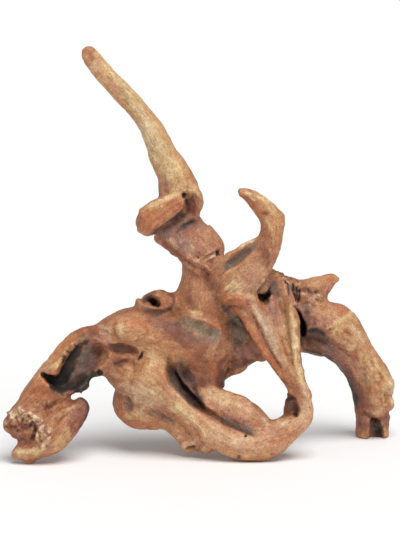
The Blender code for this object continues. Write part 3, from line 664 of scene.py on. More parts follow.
# ---- The knuckle inside the loop ----
# The stump of a side root behind the loop's turn. It is painted dark and red, and a crack runs across it,
# with painted shade along the crack.

grow((92, -35, 60, 8), (92, -34, 46, 9), (90, -38, 34, 9))
shape([(284, 397, 2.5), (290, 397, 2.5), (297, 400, 2.5)], -2.5, 0.6)
shape([(289, 392, 4)], 1.2)
shape([(289, 406, 5)], 1.5)
stain_and_shade(MAROON, 0.95, [(289, 392, 7), (291, 404, 10), (292, 412, 7)])
stain_and_shade(UMBER, 0.4, [(287, 396, 4), (292, 410, 5)])
stain_and_shade(MAUVE, 0.55, [(288, 402, 4), (291, 408, 4)])
stain_and_shade(RUST, 0.5, [(290, 389, 3), (296, 396, 3)])
stain_and_shade(MAROON, 0.8, [(287, 392, 2), (291, 396, 2)])
# The black along the crack is painted shade.
stain_and_shade(SHADE_BLACK, 0.7, [(286, 399, 0.4), (292, 399, 0.8), (298, 402, 0.6)])
stain_and_shade(ROSE, 0.5, [(291, 400, 0.6), (298, 403, 0.8), (300, 410, 0.8)])


# ---- The inner lobe and the front groove ----
# A tongue of wood lies along the top of the bar, parted from it by a deep groove that rot opened. Its
# left face is grey, and painted shade darkens the slit.

grow((-3, -21, 62, 10), (10, -31, 54, 13), (30, -38, 44, 15), (60, -43, 28, 13))
shape([(171, 362, 6), (174, 374, 6.5), (181, 387, 6), (190, 397, 5), (199, 406, 4)], -1.4, wall=0.3)
shape([(173, 369, 2), (178, 379, 2.2), (183, 388, 2.4), (191, 394, 2.4), (199, 402, 2.2)],
      -3.4, 0.6, inward=0.7)
shape([(178, 364, 5), (184, 374, 5.5), (190, 384, 4)], -1.6, 0.0)
shape([(205, 407, 3), (216, 417, 3), (228, 425, 3), (241, 430, 3), (255, 435, 2.5)], -2.4, 0.7)
shape([(210, 404, 4), (226, 414, 4), (242, 423, 4)], 0.9, 0.2)
shape([(206, 386, 4), (222, 391, 4), (238, 396, 4), (252, 402, 4)], 0.9, 0.2)
stain_and_shade(PEACH, 0.95, [(204, 390, 10), (226, 402, 13), (244, 414, 13), (256, 424, 9)])
stain_and_shade(BLOND, 0.7, [(200, 389, 4), (212, 394, 5), (228, 399, 5), (240, 403, 4)])
stain_and_shade(CREAM, 0.5, [(206, 395, 3), (216, 401, 3), (228, 405, 3)])
stain_and_shade(ROSE, 0.6, [(206, 402, 3), (220, 411, 4), (236, 420, 5), (250, 427, 5)])
# The mauve on the lobe's lower half is painted shade.
stain_and_shade(MAUVE, 0.6, [(222, 416, 2.5), (236, 422, 3.5), (250, 430, 5)])
stain_and_shade(SLATE, 0.9, [(218, 417, 2.5), (228, 422, 3.2), (238, 426, 2.8), (248, 431, 3.2), (256, 434, 2.5)])
stain_and_shade(TAN, 0.5, [(206, 409, 1.6), (213, 415, 1.6)])
# The umber line under the lobe's overhanging edge is painted shade.
stain_and_shade(UMBER, 0.8, [(205, 411, 0.8), (216, 419, 1), (228, 425, 1.2), (240, 430, 1), (256, 437, 1)])
# The dusk, umber, charcoal and black in the groove are painted shade.
stain_and_shade(SHADE_DUSK, 0.9, [(178, 364, 3.5), (182, 374, 5), (188, 384, 6), (195, 393, 5), (202, 404, 4)])
stain_and_shade(UMBER, 0.8, [(181, 374, 2.5), (186, 382, 3), (193, 390, 3.5), (199, 399, 3)])
stain_and_shade(SLATE, 0.9, [(171, 359, 3), (171, 367, 4.5), (173, 378, 5), (179, 390, 4.5), (188, 399, 4),
                   (200, 408, 3)])
stain_and_shade(SHADE_DUSK, 0.5, [(171, 362, 2), (174, 374, 3), (182, 388, 3), (192, 401, 2.5)])
stain_and_shade(MAUVE, 0.6, [(188, 362, 3), (193, 372, 4), (197, 380, 4)])
stain_and_shade(SHADE_CHARCOAL, 0.9, [(190, 386, 1.5), (196, 393, 3), (201, 402, 3), (206, 409, 1.5)])
stain_and_shade(SHADE_BLACK, 1.0, [(174, 371, 0.3), (179, 380, 0.8), (184, 388, 1.2), (190, 393, 1.2), (196, 399, 0.6)])
stain_and_shade(SHADE_DUSK, 0.8, [(182, 391, 2), (189, 400, 2.5), (196, 408, 2.5)])
stain_and_shade(PEACH, 0.7, [(205, 404, 2.5), (211, 410, 2.5)])
stain_and_shade(ROSE, 0.5, [(226, 415, 2.5), (234, 419, 2.5)])


# ---- The chest ----
# The thick middle where the roots meet. Its upper part is crossed by bands of grey weathered wood, and
# below them the wood is smooth and deep red where it was scoured last.

MOSS = (0.25, 0.20, 0.135)

shape([(172, 320, 5), (186, 326, 6), (200, 333, 7), (214, 338, 5)], -1.0, 0.1)
shape([(182, 314, 3), (196, 318, 3), (210, 323, 3), (224, 330, 2.5)], 1.8, 0.5)
shape([(186, 309, 2.5), (198, 310, 2.5), (210, 316, 2.2)], -1.2, 0.4)
shape([(232, 318, 6), (237, 332, 8), (238, 346, 7)], -1.0, 0.1)
shape([(228, 318, 2.5), (233, 316, 2.5), (240, 322, 2.5)], 1.0, 0.4)
shape([(214, 318, 3), (220, 332, 3.5), (224, 348, 3.5), (222, 362, 3)], 1.3, 0.4)
shape([(196, 352, 8), (204, 366, 9), (204, 378, 7)], -0.9, 0.0)
shape([(214, 360, 3), (219, 369, 3), (217, 378, 3)], -1.4, 0.3)
shape([(228, 352, 2), (229, 362, 2.2), (226, 370, 2)], -2.2, 0.5)
shape([(226, 366, 2.5), (236, 360, 3), (248, 358, 2.5)], -1.0, 0.4)
shape([(229, 370, 6), (237, 367, 7), (246, 361, 5)], 7.0, 0.0, 0.2, reach=40)
shape([(221, 382, 5), (222, 388, 4)], 3.2, 0.0, 0)
shape([(258, 359, 5), (266, 360, 4)], 1.5)
shape([(222, 306, 3), (227, 312, 3)], -1.6, 0.3)
# The dusk, umber and black marks in this section are painted shade: below the cup, under the roll, along the
# chest's lower and right edges and in the groove.
stain_and_shade(SIENNA, 0.95, [(170, 325, 14), (195, 345, 22), (210, 370, 20), (222, 350, 16)])
stain_and_shade(BRICK, 0.7, [(176, 338, 6), (192, 350, 9), (208, 350, 8), (222, 340, 5)])
stain_and_shade(EMBER, 0.5, [(170, 340, 6), (180, 350, 6), (196, 352, 5)])
stain_and_shade(BRICK, 0.85, [(190, 356, 8), (202, 366, 10), (208, 376, 9), (198, 380, 7)])
stain_and_shade(TAN, 0.55, [(216, 336, 2.5), (214, 346, 3.5), (209, 354, 3)])
stain_and_shade(RUST, 0.8, [(206, 364, 3), (213, 372, 4.5), (212, 379, 3)])
stain_and_shade(EMBER, 0.6, [(210, 352, 3), (214, 372, 2.5)])
stain_and_shade(TAN, 0.5, [(212, 348, 2), (206, 356, 2), (218, 352, 1.6)])
stain_and_shade(MAROON, 0.55, [(184, 368, 3), (192, 378, 5), (204, 383, 4), (216, 382, 3)])
stain_and_shade(MAROON, 0.5, [(190, 362, 2), (198, 372, 2.5)])
# This maroon band below the cup is painted shade.
stain_and_shade(MAROON, 0.75, [(164, 321, 5), (172, 328, 6), (179, 337, 6), (185, 345, 4)])
stain_and_shade(SHADE_DUSK, 0.4, [(170, 324, 3), (180, 331, 3), (188, 340, 4)])
stain_and_shade(RUST, 0.6, [(170, 343, 4), (174, 351, 4)])
stain_and_shade(MOSS, 0.85, [(178, 319, 3), (188, 323, 5), (200, 329, 6.5), (212, 334, 6), (221, 338, 3)])
stain_and_shade(SLATE, 0.5, [(204, 332, 4), (214, 336, 4)])
stain_and_shade(MAUVE, 0.6, [(192, 337, 3), (204, 341, 4), (215, 341, 3)])
stain_and_shade(EMBER, 0.7, [(206, 320, 1.6), (216, 324, 2), (226, 329, 1.6)])
stain_and_shade(PEACH, 0.6, [(190, 317, 1.2), (202, 319, 1.4), (212, 322, 1.2)])
stain_and_shade(SIENNA, 0.7, [(206, 313, 2.5), (214, 317, 2.5)])
stain_and_shade(SLATE, 1.0, [(229, 313, 3), (234, 322, 5.5), (238, 333, 7.5), (238, 345, 6.5)])
stain_and_shade(MOSS, 0.7, [(235, 324, 4), (238, 334, 5), (238, 342, 4)])
stain_and_shade(SHADE_DUSK, 0.85, [(222, 303, 1.5), (226, 309, 2.5), (230, 315, 2)])
stain_and_shade(MAUVE, 0.8, [(232, 350, 3), (240, 355, 4), (250, 350, 5), (257, 356, 5)])
stain_and_shade(MAROON, 0.6, [(246, 342, 2), (252, 350, 2.5), (260, 358, 3)])
stain_and_shade(SHADE_DUSK, 0.7, [(231, 350, 1.5), (234, 358, 2)])
stain_and_shade(MAROON, 0.85, [(228, 356, 2), (220, 364, 3), (222, 374, 3), (222, 384, 2.5)])
stain_and_shade(UMBER, 0.85, [(229, 368, 2), (238, 366, 2.2), (247, 362, 1.6), (258, 361, 1)])
stain_and_shade(MAROON, 0.8, [(231, 358, 3), (238, 362, 4), (246, 357, 3)])
stain_and_shade(UMBER, 0.7, [(232, 364, 3), (239, 366, 2.5)])
stain_and_shade(RUST, 0.5, [(238, 360, 1), (244, 355, 1.4)])
stain_and_shade(SHADE_BLACK, 0.8, [(229, 364, 0.8), (228, 370, 1), (225, 377, 0.8), (223, 388, 0.8)])
stain_and_shade(SHADE_DUSK, 1.0, [(177, 360, 5), (182, 370, 6), (187, 380, 5.5), (192, 388, 3.5)], soft=0.6, reach=30)
stain_and_shade(UMBER, 0.8, [(186, 381, 2), (190, 387, 3), (195, 394, 3)])
stain_and_shade(SHADE_BLACK, 0.9, [(175, 371, 0.6), (180, 380, 1), (185, 387, 1.4), (190, 391, 1.2)])
stain_and_shade(SLATE, 0.9, [(232, 316, 2.5), (237, 325, 6), (239, 336, 7), (234, 346, 5)], soft=0.7)
stain_and_shade(MAUVE, 0.7, [(232, 350, 5), (240, 352, 5), (246, 350, 3)])
stain_and_shade(MOSS, 0.7, [(236, 326, 4), (239, 335, 5), (236, 343, 3)])
stain_and_shade(RUST, 0.6, [(182, 350, 4), (190, 358, 5), (200, 368, 5)])
stain_and_shade(SHADE_DUSK, 0.6, [(229, 324, 1.5), (228, 334, 2), (229, 344, 2)])
stain_and_shade(SLATE, 0.5, [(172, 322, 3), (180, 327, 4)])
stain_and_shade(SHADE_DUSK, 0.6, [(176, 325, 4), (184, 333, 4), (196, 339, 3)])
stain_and_shade(MAROON, 0.9, [(219, 374, 3), (221, 382, 3.5), (218, 389, 2)])
stain_and_shade(UMBER, 0.9, [(224, 370, 2), (224, 380, 2), (222, 388, 1.5)])
stain_and_shade(UMBER, 0.8, [(230, 368, 2.5), (239, 367, 2.5), (246, 362, 2)], reach=40)
stain_and_shade(MOSS, 0.9, [(235, 320, 3), (239, 328, 4.5), (240, 337, 4)], reach=30)


# ---- The flank ----
# The heavy left side, with a painted highlight of peach and blond on its boss, a wrinkled crease below it
# and a dark pocket where a knot fell out, with painted shade in the pocket, in its slit and below the cup.

grow((10, -18, 112, 30), (-30, -20, 112, 30), (-63, -22, 114, 30), (-95, -24, 103, 24), (-127, -34, 85, 22),
     (-152, -48, 59, 19), (-173, -57, 34, 15), (-190, -61, 24, 9))
sink([(108, 347, 3, -43), (114, 348, 4.5, -41), (124, 349, 4.5, -40), (133, 350, 3.5, -40),
      (137, 353, 2, -42)], 0.75)
shape([(108, 343, 2), (120, 343, 2), (132, 345, 2)], 0.9, 0.7)
shape([(112, 364, 3), (117, 364, 4), (122, 361, 3), (128, 361, 2.5)], -2.2, 0.5)
shape([(106, 355, 3), (118, 356, 3), (130, 357, 3), (137, 358, 2)], 1.2, 0.4)
shape([(139, 360, 2), (142, 355, 2.5), (143, 350, 2)], -4.0, 0.6, inward=0.5)
shape([(128, 343, 2), (138, 344, 2.2), (148, 345, 2.2), (156, 342, 2)], -1.3, 0.7)
shape([(117, 317, 2.5), (113, 326, 2.8), (115, 335, 2.8), (121, 342, 2.5)], -1.6, 0.6)
shape([(124, 325, 7), (138, 328, 8), (148, 331, 7)], 1.8, 0.0)
shape([(120, 330, 4)], 1.0)
shape([(134, 337, 2), (144, 335, 2), (154, 338, 2)], -1.0, 0.6)
shape([(132, 340, 1.8), (142, 339, 1.8), (150, 342, 1.8)], 1.0, 0.5)
shape([(152, 337, 3)], 1.0, 0.4)
shape([(152, 314, 4), (166, 318, 4), (178, 328, 4)], -1.0, 0.3)
shape([(98, 327, 2), (106, 329, 2), (113, 333, 1.8)], 0.9, 0.6)
shape([(98, 333, 2), (106, 336, 2), (112, 341, 1.8)], 0.9, 0.6)
stain_and_shade(OCHRE, 0.95, [(110, 330, 20), (135, 340, 26), (160, 345, 22), (150, 370, 20), (175, 340, 14)])
stain_and_shade(EMBER, 0.5, [(128, 328, 5), (138, 328, 7), (150, 332, 7)])
# The peach band on the boss is a painted highlight.
stain_and_shade(PEACH, 0.5, [(120, 328, 4), (134, 334, 3), (146, 337, 4)])
stain_and_shade(BRICK, 0.8, [(146, 318, 4), (158, 323, 6), (166, 332, 6), (172, 342, 5)])
stain_and_shade(RUST, 0.5, [(152, 330, 3), (162, 338, 4), (170, 350, 3)])
stain_and_shade(EMBER, 0.5, [(128, 318, 5), (138, 322, 5), (150, 322, 5)])
stain_and_shade(EMBER, 0.4, [(136, 340, 3), (146, 335, 3), (158, 344, 4)])
# The blond patch on the boss is a painted highlight.
stain_and_shade(BLOND, 0.8, [(122, 324, 2), (119.5, 331, 2.5), (124, 338, 2)])
stain_and_shade(CREAM, 0.5, [(140, 337, 0.8), (148, 336, 1), (154, 339, 1)])
stain_and_shade(SIENNA, 0.7, [(117, 317, 1.8), (113, 326, 2), (115, 335, 2), (121, 342, 1.8), (130, 345, 1.8)])
stain_and_shade(TAN, 0.8, [(144, 352, 6), (156, 354, 8), (160, 366, 8)])
stain_and_shade(BLOND, 0.75, [(147, 352, 4), (152, 358, 5), (148, 368, 5)])
stain_and_shade(TAN, 0.7, [(126, 374, 8), (140, 382, 9), (156, 380, 8)])
stain_and_shade(ROSE, 0.85, [(96, 330, 6), (103, 338, 7), (110, 350, 6), (106, 362, 5)])
stain_and_shade(CREAM, 0.55, [(98, 326, 2), (106, 328, 2), (113, 332, 1.8)])
stain_and_shade(CREAM, 0.45, [(99, 333, 1.8), (107, 336, 1.8), (112, 340, 1.6)])
stain_and_shade(MAROON, 1.0, [(106, 346, 1.5), (112, 348, 3), (120, 349, 4), (130, 350, 3.5), (137, 353, 1.5)],
      soft=0.5)
# The umber and charcoal in the pocket and the umber in the dent below it are painted shade.
stain_and_shade(UMBER, 0.7, [(108, 344, 0.6), (116, 345, 1), (126, 345, 1), (133, 347, 0.8)])
stain_and_shade(SHADE_CHARCOAL, 0.5, [(116, 349, 0.8), (120, 350, 1.2)])
stain_and_shade(SHADE_CHARCOAL, 0.5, [(114, 352, 0.6), (122, 353, 0.8), (130, 353, 0.6)])
stain_and_shade(RUST, 0.8, [(106, 355, 3.5), (120, 357, 3.5), (132, 358, 3)])
stain_and_shade(UMBER, 0.7, [(113, 363, 2), (118, 364, 3), (123, 361, 2), (130, 360, 1.5)], soft=0.6)
stain_and_shade(MOSS, 0.4, [(114, 359, 1.5), (122, 360, 2)])
stain_and_shade(RUST, 0.7, [(134, 347, 1.6), (138, 353, 1.8), (137, 359, 1.6)])
# The black slit is painted shade.
stain_and_shade(SHADE_BLACK, 1.0, [(138, 360, 0.6), (141, 356, 1.2), (142, 351, 0.8)])
stain_and_shade(SIENNA, 0.8, [(136, 345, 1.6), (146, 346, 1.8), (156, 343, 1.6)])
# This maroon band below the cup is painted shade.
stain_and_shade(MAROON, 0.5, [(160, 322, 3), (168, 328, 4), (174, 338, 4)])
stain_and_shade(RUST, 0.5, [(172, 346, 4), (170, 354, 3)])
stain_and_shade(CREAM, 0.45, [(112, 374, 3), (118, 378, 3)])
stain_and_shade(UMBER, 0.8, [(112, 347, 1), (119, 350, 1.4), (124, 347, 1)])
stain_and_shade(BRICK, 0.8, [(114, 352, 0.8), (122, 354, 1), (131, 351, 1)])
stain_and_shade(ROSE, 0.5, [(130, 346, 1), (136, 349, 0.8)])
# This brick band below the cup is painted shade.
stain_and_shade(BRICK, 0.75, [(162, 322, 4), (171, 331, 5), (182, 340, 5.5), (192, 346, 4)])


# ---- The cup and its nub ----
# The socket of a lost root on top of the flank: a hollow painted black and dusky as shade, with a round
# worn wall at its right. A broken nub stands beside it.

shape([(150, 301, 4), (156, 304, 4)], -5.0, 0.2, inward=0.8)
shape([(144, 301, 3)], -2.0, inward=0.6)
shape([(163, 299, 6)], 1.2, 0.0)
shape([(156, 294, 2), (162, 292, 2), (169, 294, 2.2), (172, 300, 2.2), (171, 306, 2)], -1.4, 0.4)
shape([(160, 289, 3), (169, 290, 3), (175, 296, 3), (175, 305, 3)], 1.4, 0.5)
shape([(144, 306, 2.5), (154, 311, 2.5), (166, 311, 2.5), (174, 306, 2.5)], -1.8, 0.5)
shape([(134, 300, 4)], 3.0, 0.1, reach=40)
shape([(141, 298, 3)], -3.4, 0.2, reach=40)
stain_and_shade(SIENNA, 0.95, [(134, 300, 5), (150, 296, 8), (164, 296, 10), (170, 304, 9), (150, 307, 8)])
stain_and_shade(MAROON, 0.7, [(144, 297, 2), (150, 294, 2), (157, 292, 1)])
stain_and_shade(RUST, 1.0, [(160, 297, 4), (164, 300, 5), (165, 305, 3)])
stain_and_shade(MAROON, 0.95, [(160, 290, 0.8), (167, 291, 1.4), (172, 296, 1.8), (173.5, 302, 1.8), (171, 307, 1.6),
                     (163, 310, 1.2)])
stain_and_shade(EMBER, 0.4, [(162, 297, 2), (165, 301, 2.5)])
# The dusk, umber, charcoal and black here and the maroon below the cup are painted shade.
stain_and_shade(SHADE_DUSK, 0.95, [(143, 302, 2.5), (148, 298, 2.5), (152, 295, 1.8)])
stain_and_shade(SHADE_DUSK, 0.75, [(144, 308, 2), (152, 313, 3.5), (162, 313, 3)])
stain_and_shade(UMBER, 0.7, [(142, 306, 1), (152, 311, 1.6), (164, 312, 1.6), (173, 307, 1)])
stain_and_shade(SHADE_CHARCOAL, 1.0, [(146, 301, 1.2), (152, 300, 2.5), (158, 304, 2)])
stain_and_shade(SHADE_BLACK, 1.0, [(151, 303, 1.5), (156, 305, 2), (160, 306, 0.8)])
stain_and_shade(UMBER, 0.7, [(146, 310, 2.5), (154, 313, 3.5), (163, 312, 3)], reach=30)
stain_and_shade(MAROON, 0.7, [(160, 318, 3), (166, 324, 5), (173, 331, 5), (180, 339, 5), (188, 345, 3)], reach=30)
stain_and_shade(BRICK, 0.5, [(163, 299, 4)])


# ---- The blob and the heel knobs ----
# The swollen underside of the flank, smooth and peach, with a wrinkled dent at its left. It ends in two
# small knobs above the ground.

grow((-58, -24, 74, 20), (-62, -20, 50, 22), (-42, -22, 42, 20), (-16, -32, 22, 14), (4, -43, 6, 9))
shape([(126, 393, 5), (128, 403, 6.5), (128, 413, 5)], -2.2, 0.0)
shape([(133, 390, 2.5), (136, 400, 3), (134, 411, 3)], 1.6, 0.5)
shape([(142, 400, 3), (147, 409, 3)], -1.2, 0.4)
shape([(152, 390, 5), (158, 400, 5)], 1.2)
shape([(147, 410, 3), (157, 413, 4), (166, 418, 4), (176, 424, 3)], -1.6, 0.4)
shape([(139, 410, 2), (147, 405, 2), (155, 407, 2)], 1.2, 0.5)
shape([(130, 420, 4), (146, 422, 4), (160, 424, 4)], 0.9, 0.2)
shape([(184, 440, 3), (190, 443, 3.5), (196, 441, 3)], 1.2, 0.2)
shape([(186, 449, 2.5), (191, 448, 3), (196, 446, 2.5)], -2.5, 0.4)
shape([(199, 446, 2.5), (199, 451, 2.5)], -2.0, 0.5)
stain_and_shade(OCHRE, 0.95, [(122, 400, 12), (140, 408, 16), (160, 420, 12), (180, 436, 12), (195, 446, 10)])
stain_and_shade(PEACH, 0.6, [(176, 430, 5), (188, 438, 7), (196, 444, 5)])
stain_and_shade(PEACH, 0.85, [(138, 390, 6), (152, 394, 8), (158, 404, 7), (146, 403, 5)])
stain_and_shade(CREAM, 0.4, [(138, 388, 4), (154, 396, 7), (148, 404, 5), (138, 408, 3)])
stain_and_shade(BLOND, 0.7, [(132, 390, 3), (139, 391, 3.5)])
# This blond on the lump is a painted highlight.
stain_and_shade(BLOND, 0.6, [(150, 388, 3.5), (158, 390, 3.5), (154, 398, 3)])
stain_and_shade(CREAM, 0.6, [(134, 411, 2.2), (140, 411, 2.4), (146, 406, 2)])
stain_and_shade(ROSE, 0.7, [(138, 398, 4), (142, 405, 4)])
stain_and_shade(EMBER, 0.8, [(118, 404, 4.5), (119, 413, 5), (124, 420, 4)])
stain_and_shade(EMBER, 0.6, [(130, 423, 4), (146, 424, 4.5), (162, 424, 4)])
stain_and_shade(ROSE, 0.7, [(117, 391, 3), (120, 396, 3)])
# The mauve and dusk in the dent and in the crease are painted shade.
stain_and_shade(MAUVE, 0.9, [(125, 395, 2.5), (128, 402, 4), (128, 411, 3.5)])
stain_and_shade(CREAM, 0.5, [(116, 386, 3), (126, 386, 4), (138, 388, 5), (148, 392, 5)])
stain_and_shade(SHADE_DUSK, 0.4, [(129, 398, 2), (130, 406, 2), (128, 413, 1.5)])
stain_and_shade(BLOND, 0.6, [(124, 418, 2.5), (136, 417, 2.8), (148, 420, 2.5)])
stain_and_shade(MAUVE, 0.6, [(147, 412, 2.5), (157, 413, 4), (165, 418, 3.5), (175, 422, 2.5)])
stain_and_shade(SHADE_DUSK, 0.3, [(158, 411, 1.6), (166, 417, 2), (174, 422, 2)])
stain_and_shade(PEACH, 0.6, [(146, 408, 2), (154, 408, 2), (164, 411, 2)])
stain_and_shade(EMBER, 0.4, [(174, 430, 5), (186, 438, 5), (196, 440, 4)])
stain_and_shade(ROSE, 0.5, [(182, 432, 4), (190, 438, 5)])
# The cream spots on the heel knob are painted highlights, and the umber under it is painted shade.
stain_and_shade(CREAM, 0.8, [(178, 436, 2), (180, 440, 2)])
stain_and_shade(CREAM, 0.65, [(182, 446, 2.5), (188, 444, 2.5), (196, 443, 2.2)])
stain_and_shade(UMBER, 0.95, [(187, 448, 1), (191, 447, 1.6), (196, 446, 1)])
stain_and_shade(ROSE, 0.7, [(184, 450, 1.5), (190, 452, 1.5)])
stain_and_shade(PEACH, 0.9, [(203, 446, 4), (210, 450, 4)])
stain_and_shade(CREAM, 0.6, [(203, 447, 2.2), (206, 450, 2)])
stain_and_shade(CREAM, 0.5, [(122, 391, 4), (137, 395, 6), (150, 398, 5)])


# ---- The left arm and its hollow ----
# The arm comes forward from the flank. Its core has rotted to a long trough, painted black and dark as shade,
# with a sharp splintered rim, and only its orange upper wall is sound.

SPLINTER_STEP = 1.0


def splinters(seed, count, rows, length, height, lean, pale, dark, width=1.5):
    """Breaks a band of skin into small raised and sunk fibres along it, each turned by up to lean degrees."""
    draw = np.random.default_rng(seed)
    line = np.array(smooth_line(rows, SPLINTER_STEP))
    for k in range(count):
        i = draw.integers(1, len(line) - 1)
        run = line[i + 1] - line[i - 1]
        angle = math.atan2(run[1], run[0]) + math.radians(draw.uniform(-lean, lean))
        ahead = np.array((math.cos(angle), math.sin(angle)))
        aside = np.array((-ahead[1], ahead[0]))
        middle = line[i, :2] + draw.uniform(-0.9, 0.9, 2) * line[i, 2]
        half = length * draw.uniform(0.3, 0.7)
        curl = aside * draw.uniform(-0.4, 0.4) * half
        tip = 0.7 * width
        fibre = [(*(middle - ahead * half), tip), (*(middle + curl), width), (*(middle + ahead * half), tip)]
        rise = 1 if k % 2 else -1
        shape(fibre, rise * height * draw.uniform(0.6, 1.2), 0.6, 0.1)
        # Raised fibres take the pale tone; sunk ones take the dark tone, as painted shade in the splits
        # between them.
        stain_and_shade(pale if rise > 0 else dark, draw.uniform(0.5, 0.95), fibre, reach=12)


sink([(50, 379, 5, -42), (62, 383, 9, -40), (73, 377, 13, -38), (82, 365, 16, -37), (88, 354, 13, -38),
      (92, 344, 7, -42)], 0.5)
sink([(43, 375, 3, -46), (52, 380, 5, -40), (61, 380, 6, -37), (67, 370, 6, -36), (72, 359, 6, -36),
      (79, 350, 5, -38), (86, 341, 4, -42)], 0.7)
shape([(84, 366, 5), (92, 356, 6)], 1.0, 0.0)
shape([(66, 391, 4), (78, 388, 5), (90, 380, 5), (99, 373, 3)], -2.0, 0.1, inward=0.5)
shape([(40, 369, 2.5), (50, 371, 2.5), (57, 368, 2.5), (60, 361, 2.5), (64, 353, 2.5), (71, 345, 2.5),
       (79, 338, 2.5), (87, 333, 2)], 1.8, 0.7)
shape([(34, 386, 4), (46, 366, 4), (58, 350, 4), (72, 336, 4), (90, 328, 4)], 0.9, 0.2)
shape([(44, 383, 2.5), (54, 391, 2.5), (63, 397, 2.5), (70, 399, 2)], 1.4, 0.6)
shape([(44, 362, 3), (50, 358, 3)], -1.2, 0.2)
stain_and_shade(OCHRE, 0.95, [(30, 392, 14), (42, 372, 12), (58, 352, 11), (74, 337, 9), (92, 328, 8)])
stain_and_shade(EMBER, 0.7, [(48, 360, 4), (62, 346, 4), (76, 336, 3.5)])
stain_and_shade(RUST, 0.9, [(72, 332, 2), (82, 330, 4), (92, 330, 4.5), (100, 332, 3)])
stain_and_shade(MAROON, 0.5, [(80, 328, 1), (90, 327, 1.6), (88, 334, 2), (96, 334, 2)])
stain_and_shade(TAN, 0.5, [(38, 372, 4), (46, 362, 4), (56, 352, 3)])
stain_and_shade(EMBER, 0.9, [(34, 390, 8), (42, 384, 6), (50, 394, 7), (60, 401, 6), (34, 400, 9)])
stain_and_shade(RUST, 0.9, [(30, 392, 4), (42, 390, 5), (54, 396, 6), (64, 402, 5)])
stain_and_shade(MAROON, 0.6, [(48, 390, 3), (58, 397, 4), (68, 402, 4)])
stain_and_shade(BLOND, 0.8, [(50, 367, 1.6), (56, 365, 2), (60, 361, 1.6)])
stain_and_shade(MAUVE, 0.6, [(40, 371, 1.5), (46, 370, 2), (52, 372, 1)])
stain_and_shade(SLATE, 0.5, [(28, 386, 2.5), (32, 380, 2.5)])
stain_and_shade(ROSE, 0.8, [(100, 334, 4), (106, 340, 4)])
stain_and_shade(OCHRE, 0.8, [(106, 352, 4), (103, 362, 4)])
# The umber, dusk, charcoal and black in the trough are painted shade.
stain_and_shade(UMBER, 1.0, [(54, 381, 6), (64, 385, 10), (76, 379, 12), (84, 367, 13), (90, 355, 11), (93, 345, 6)],
      ends=0.08, reach=30)
stain_and_shade(MAROON, 0.8, [(90, 338, 3.5), (95, 343, 4), (99, 349, 3)])
stain_and_shade(SHADE_DUSK, 0.9, [(80, 372, 5), (86, 362, 7), (91, 352, 6)], reach=30)
stain_and_shade(SLATE, 0.7, [(78, 364, 2.5), (83, 356, 4), (87, 350, 3)])
stain_and_shade(MAUVE, 0.5, [(92, 362, 4), (95, 354, 4)])
stain_and_shade(SHADE_CHARCOAL, 0.95, [(43, 374, 1.2), (52, 379, 4), (60, 378, 5), (66, 369, 5), (71, 359, 4.5),
                       (78, 350, 3.5), (87, 338, 2)], ends=0.05)
stain_and_shade(SHADE_CHARCOAL, 0.9, [(46, 380, 1), (56, 387, 3.5), (66, 392, 4.5), (76, 389, 4), (86, 383, 4), (95, 377, 3),
                      (101, 371, 1.5)], ends=0.05, reach=30)
stain_and_shade(SHADE_BLACK, 0.95, [(42, 374, 0.8), (54, 379, 2), (62, 372, 2.5), (67, 361, 2), (74, 350, 1.6),
                    (84, 340, 0.8)])
stain_and_shade(SHADE_BLACK, 0.7, [(50, 384, 1), (60, 391, 2), (68, 395, 2.5), (84, 386, 2)], reach=30)
splinters(3, 46, [(60, 368, 2), (63, 362, 2.5), (66, 354, 2.5), (73, 347, 2), (80, 341, 2), (86, 334, 1.5)],
          4, 1.4, 80, SIENNA, SHADE_BLACK, 1.1)
splinters(4, 24, [(62, 396, 2), (72, 394, 2), (82, 389, 2.5), (92, 379, 2.5), (100, 372, 2)],
          5, 2.0, 60, UMBER, SHADE_BLACK, 1.5)
shape([(76, 390, 4), (83, 387, 5), (88, 381, 4)], 5.0, 0.1, 0.2, reach=40)
stain_and_shade(SHADE_CHARCOAL, 0.9, [(54, 385, 4), (64, 388, 7), (75, 385, 8), (86, 379, 6), (96, 372, 3)],
      ends=0.08, reach=40)
stain_and_shade(SHADE_CHARCOAL, 0.7, [(62, 380, 6), (68, 370, 6), (74, 360, 4)], soft=0.8)
stain_and_shade(SHADE_DUSK, 0.7, [(86, 372, 4), (90, 362, 5), (92, 354, 4)], reach=30)
stain_and_shade(SHADE_BLACK, 0.8, [(46, 377, 1.2), (56, 383, 2.5), (64, 380, 2.5), (66, 370, 2)])
stain_and_shade(SLATE, 0.5, [(70, 380, 2), (78, 370, 2.5), (84, 362, 2.5)])
stain_and_shade(MAROON, 0.7, [(88, 334, 3.5), (96, 334, 4.5), (100, 338, 3)])
stain_and_shade(BRICK, 0.8, [(76, 334, 2.5), (84, 331, 3.5)])
stain_and_shade(UMBER, 0.6, [(74, 342, 1.5), (80, 338, 2), (86, 336, 2)])
stain_and_shade(SLATE, 0.6, [(84, 351, 4), (92, 350, 4)])
stain_and_shade(SHADE_CHARCOAL, 0.7, [(73, 366, 4), (76, 359, 3)])


# ---- The torn foot and its curled lobe ----
# The arm ends where the root was wrenched off: its fibres stand up in pale broken tufts, and a lobe of
# skin has curled round under them to a cream edge.

BUFF = (0.66, 0.40, 0.25)

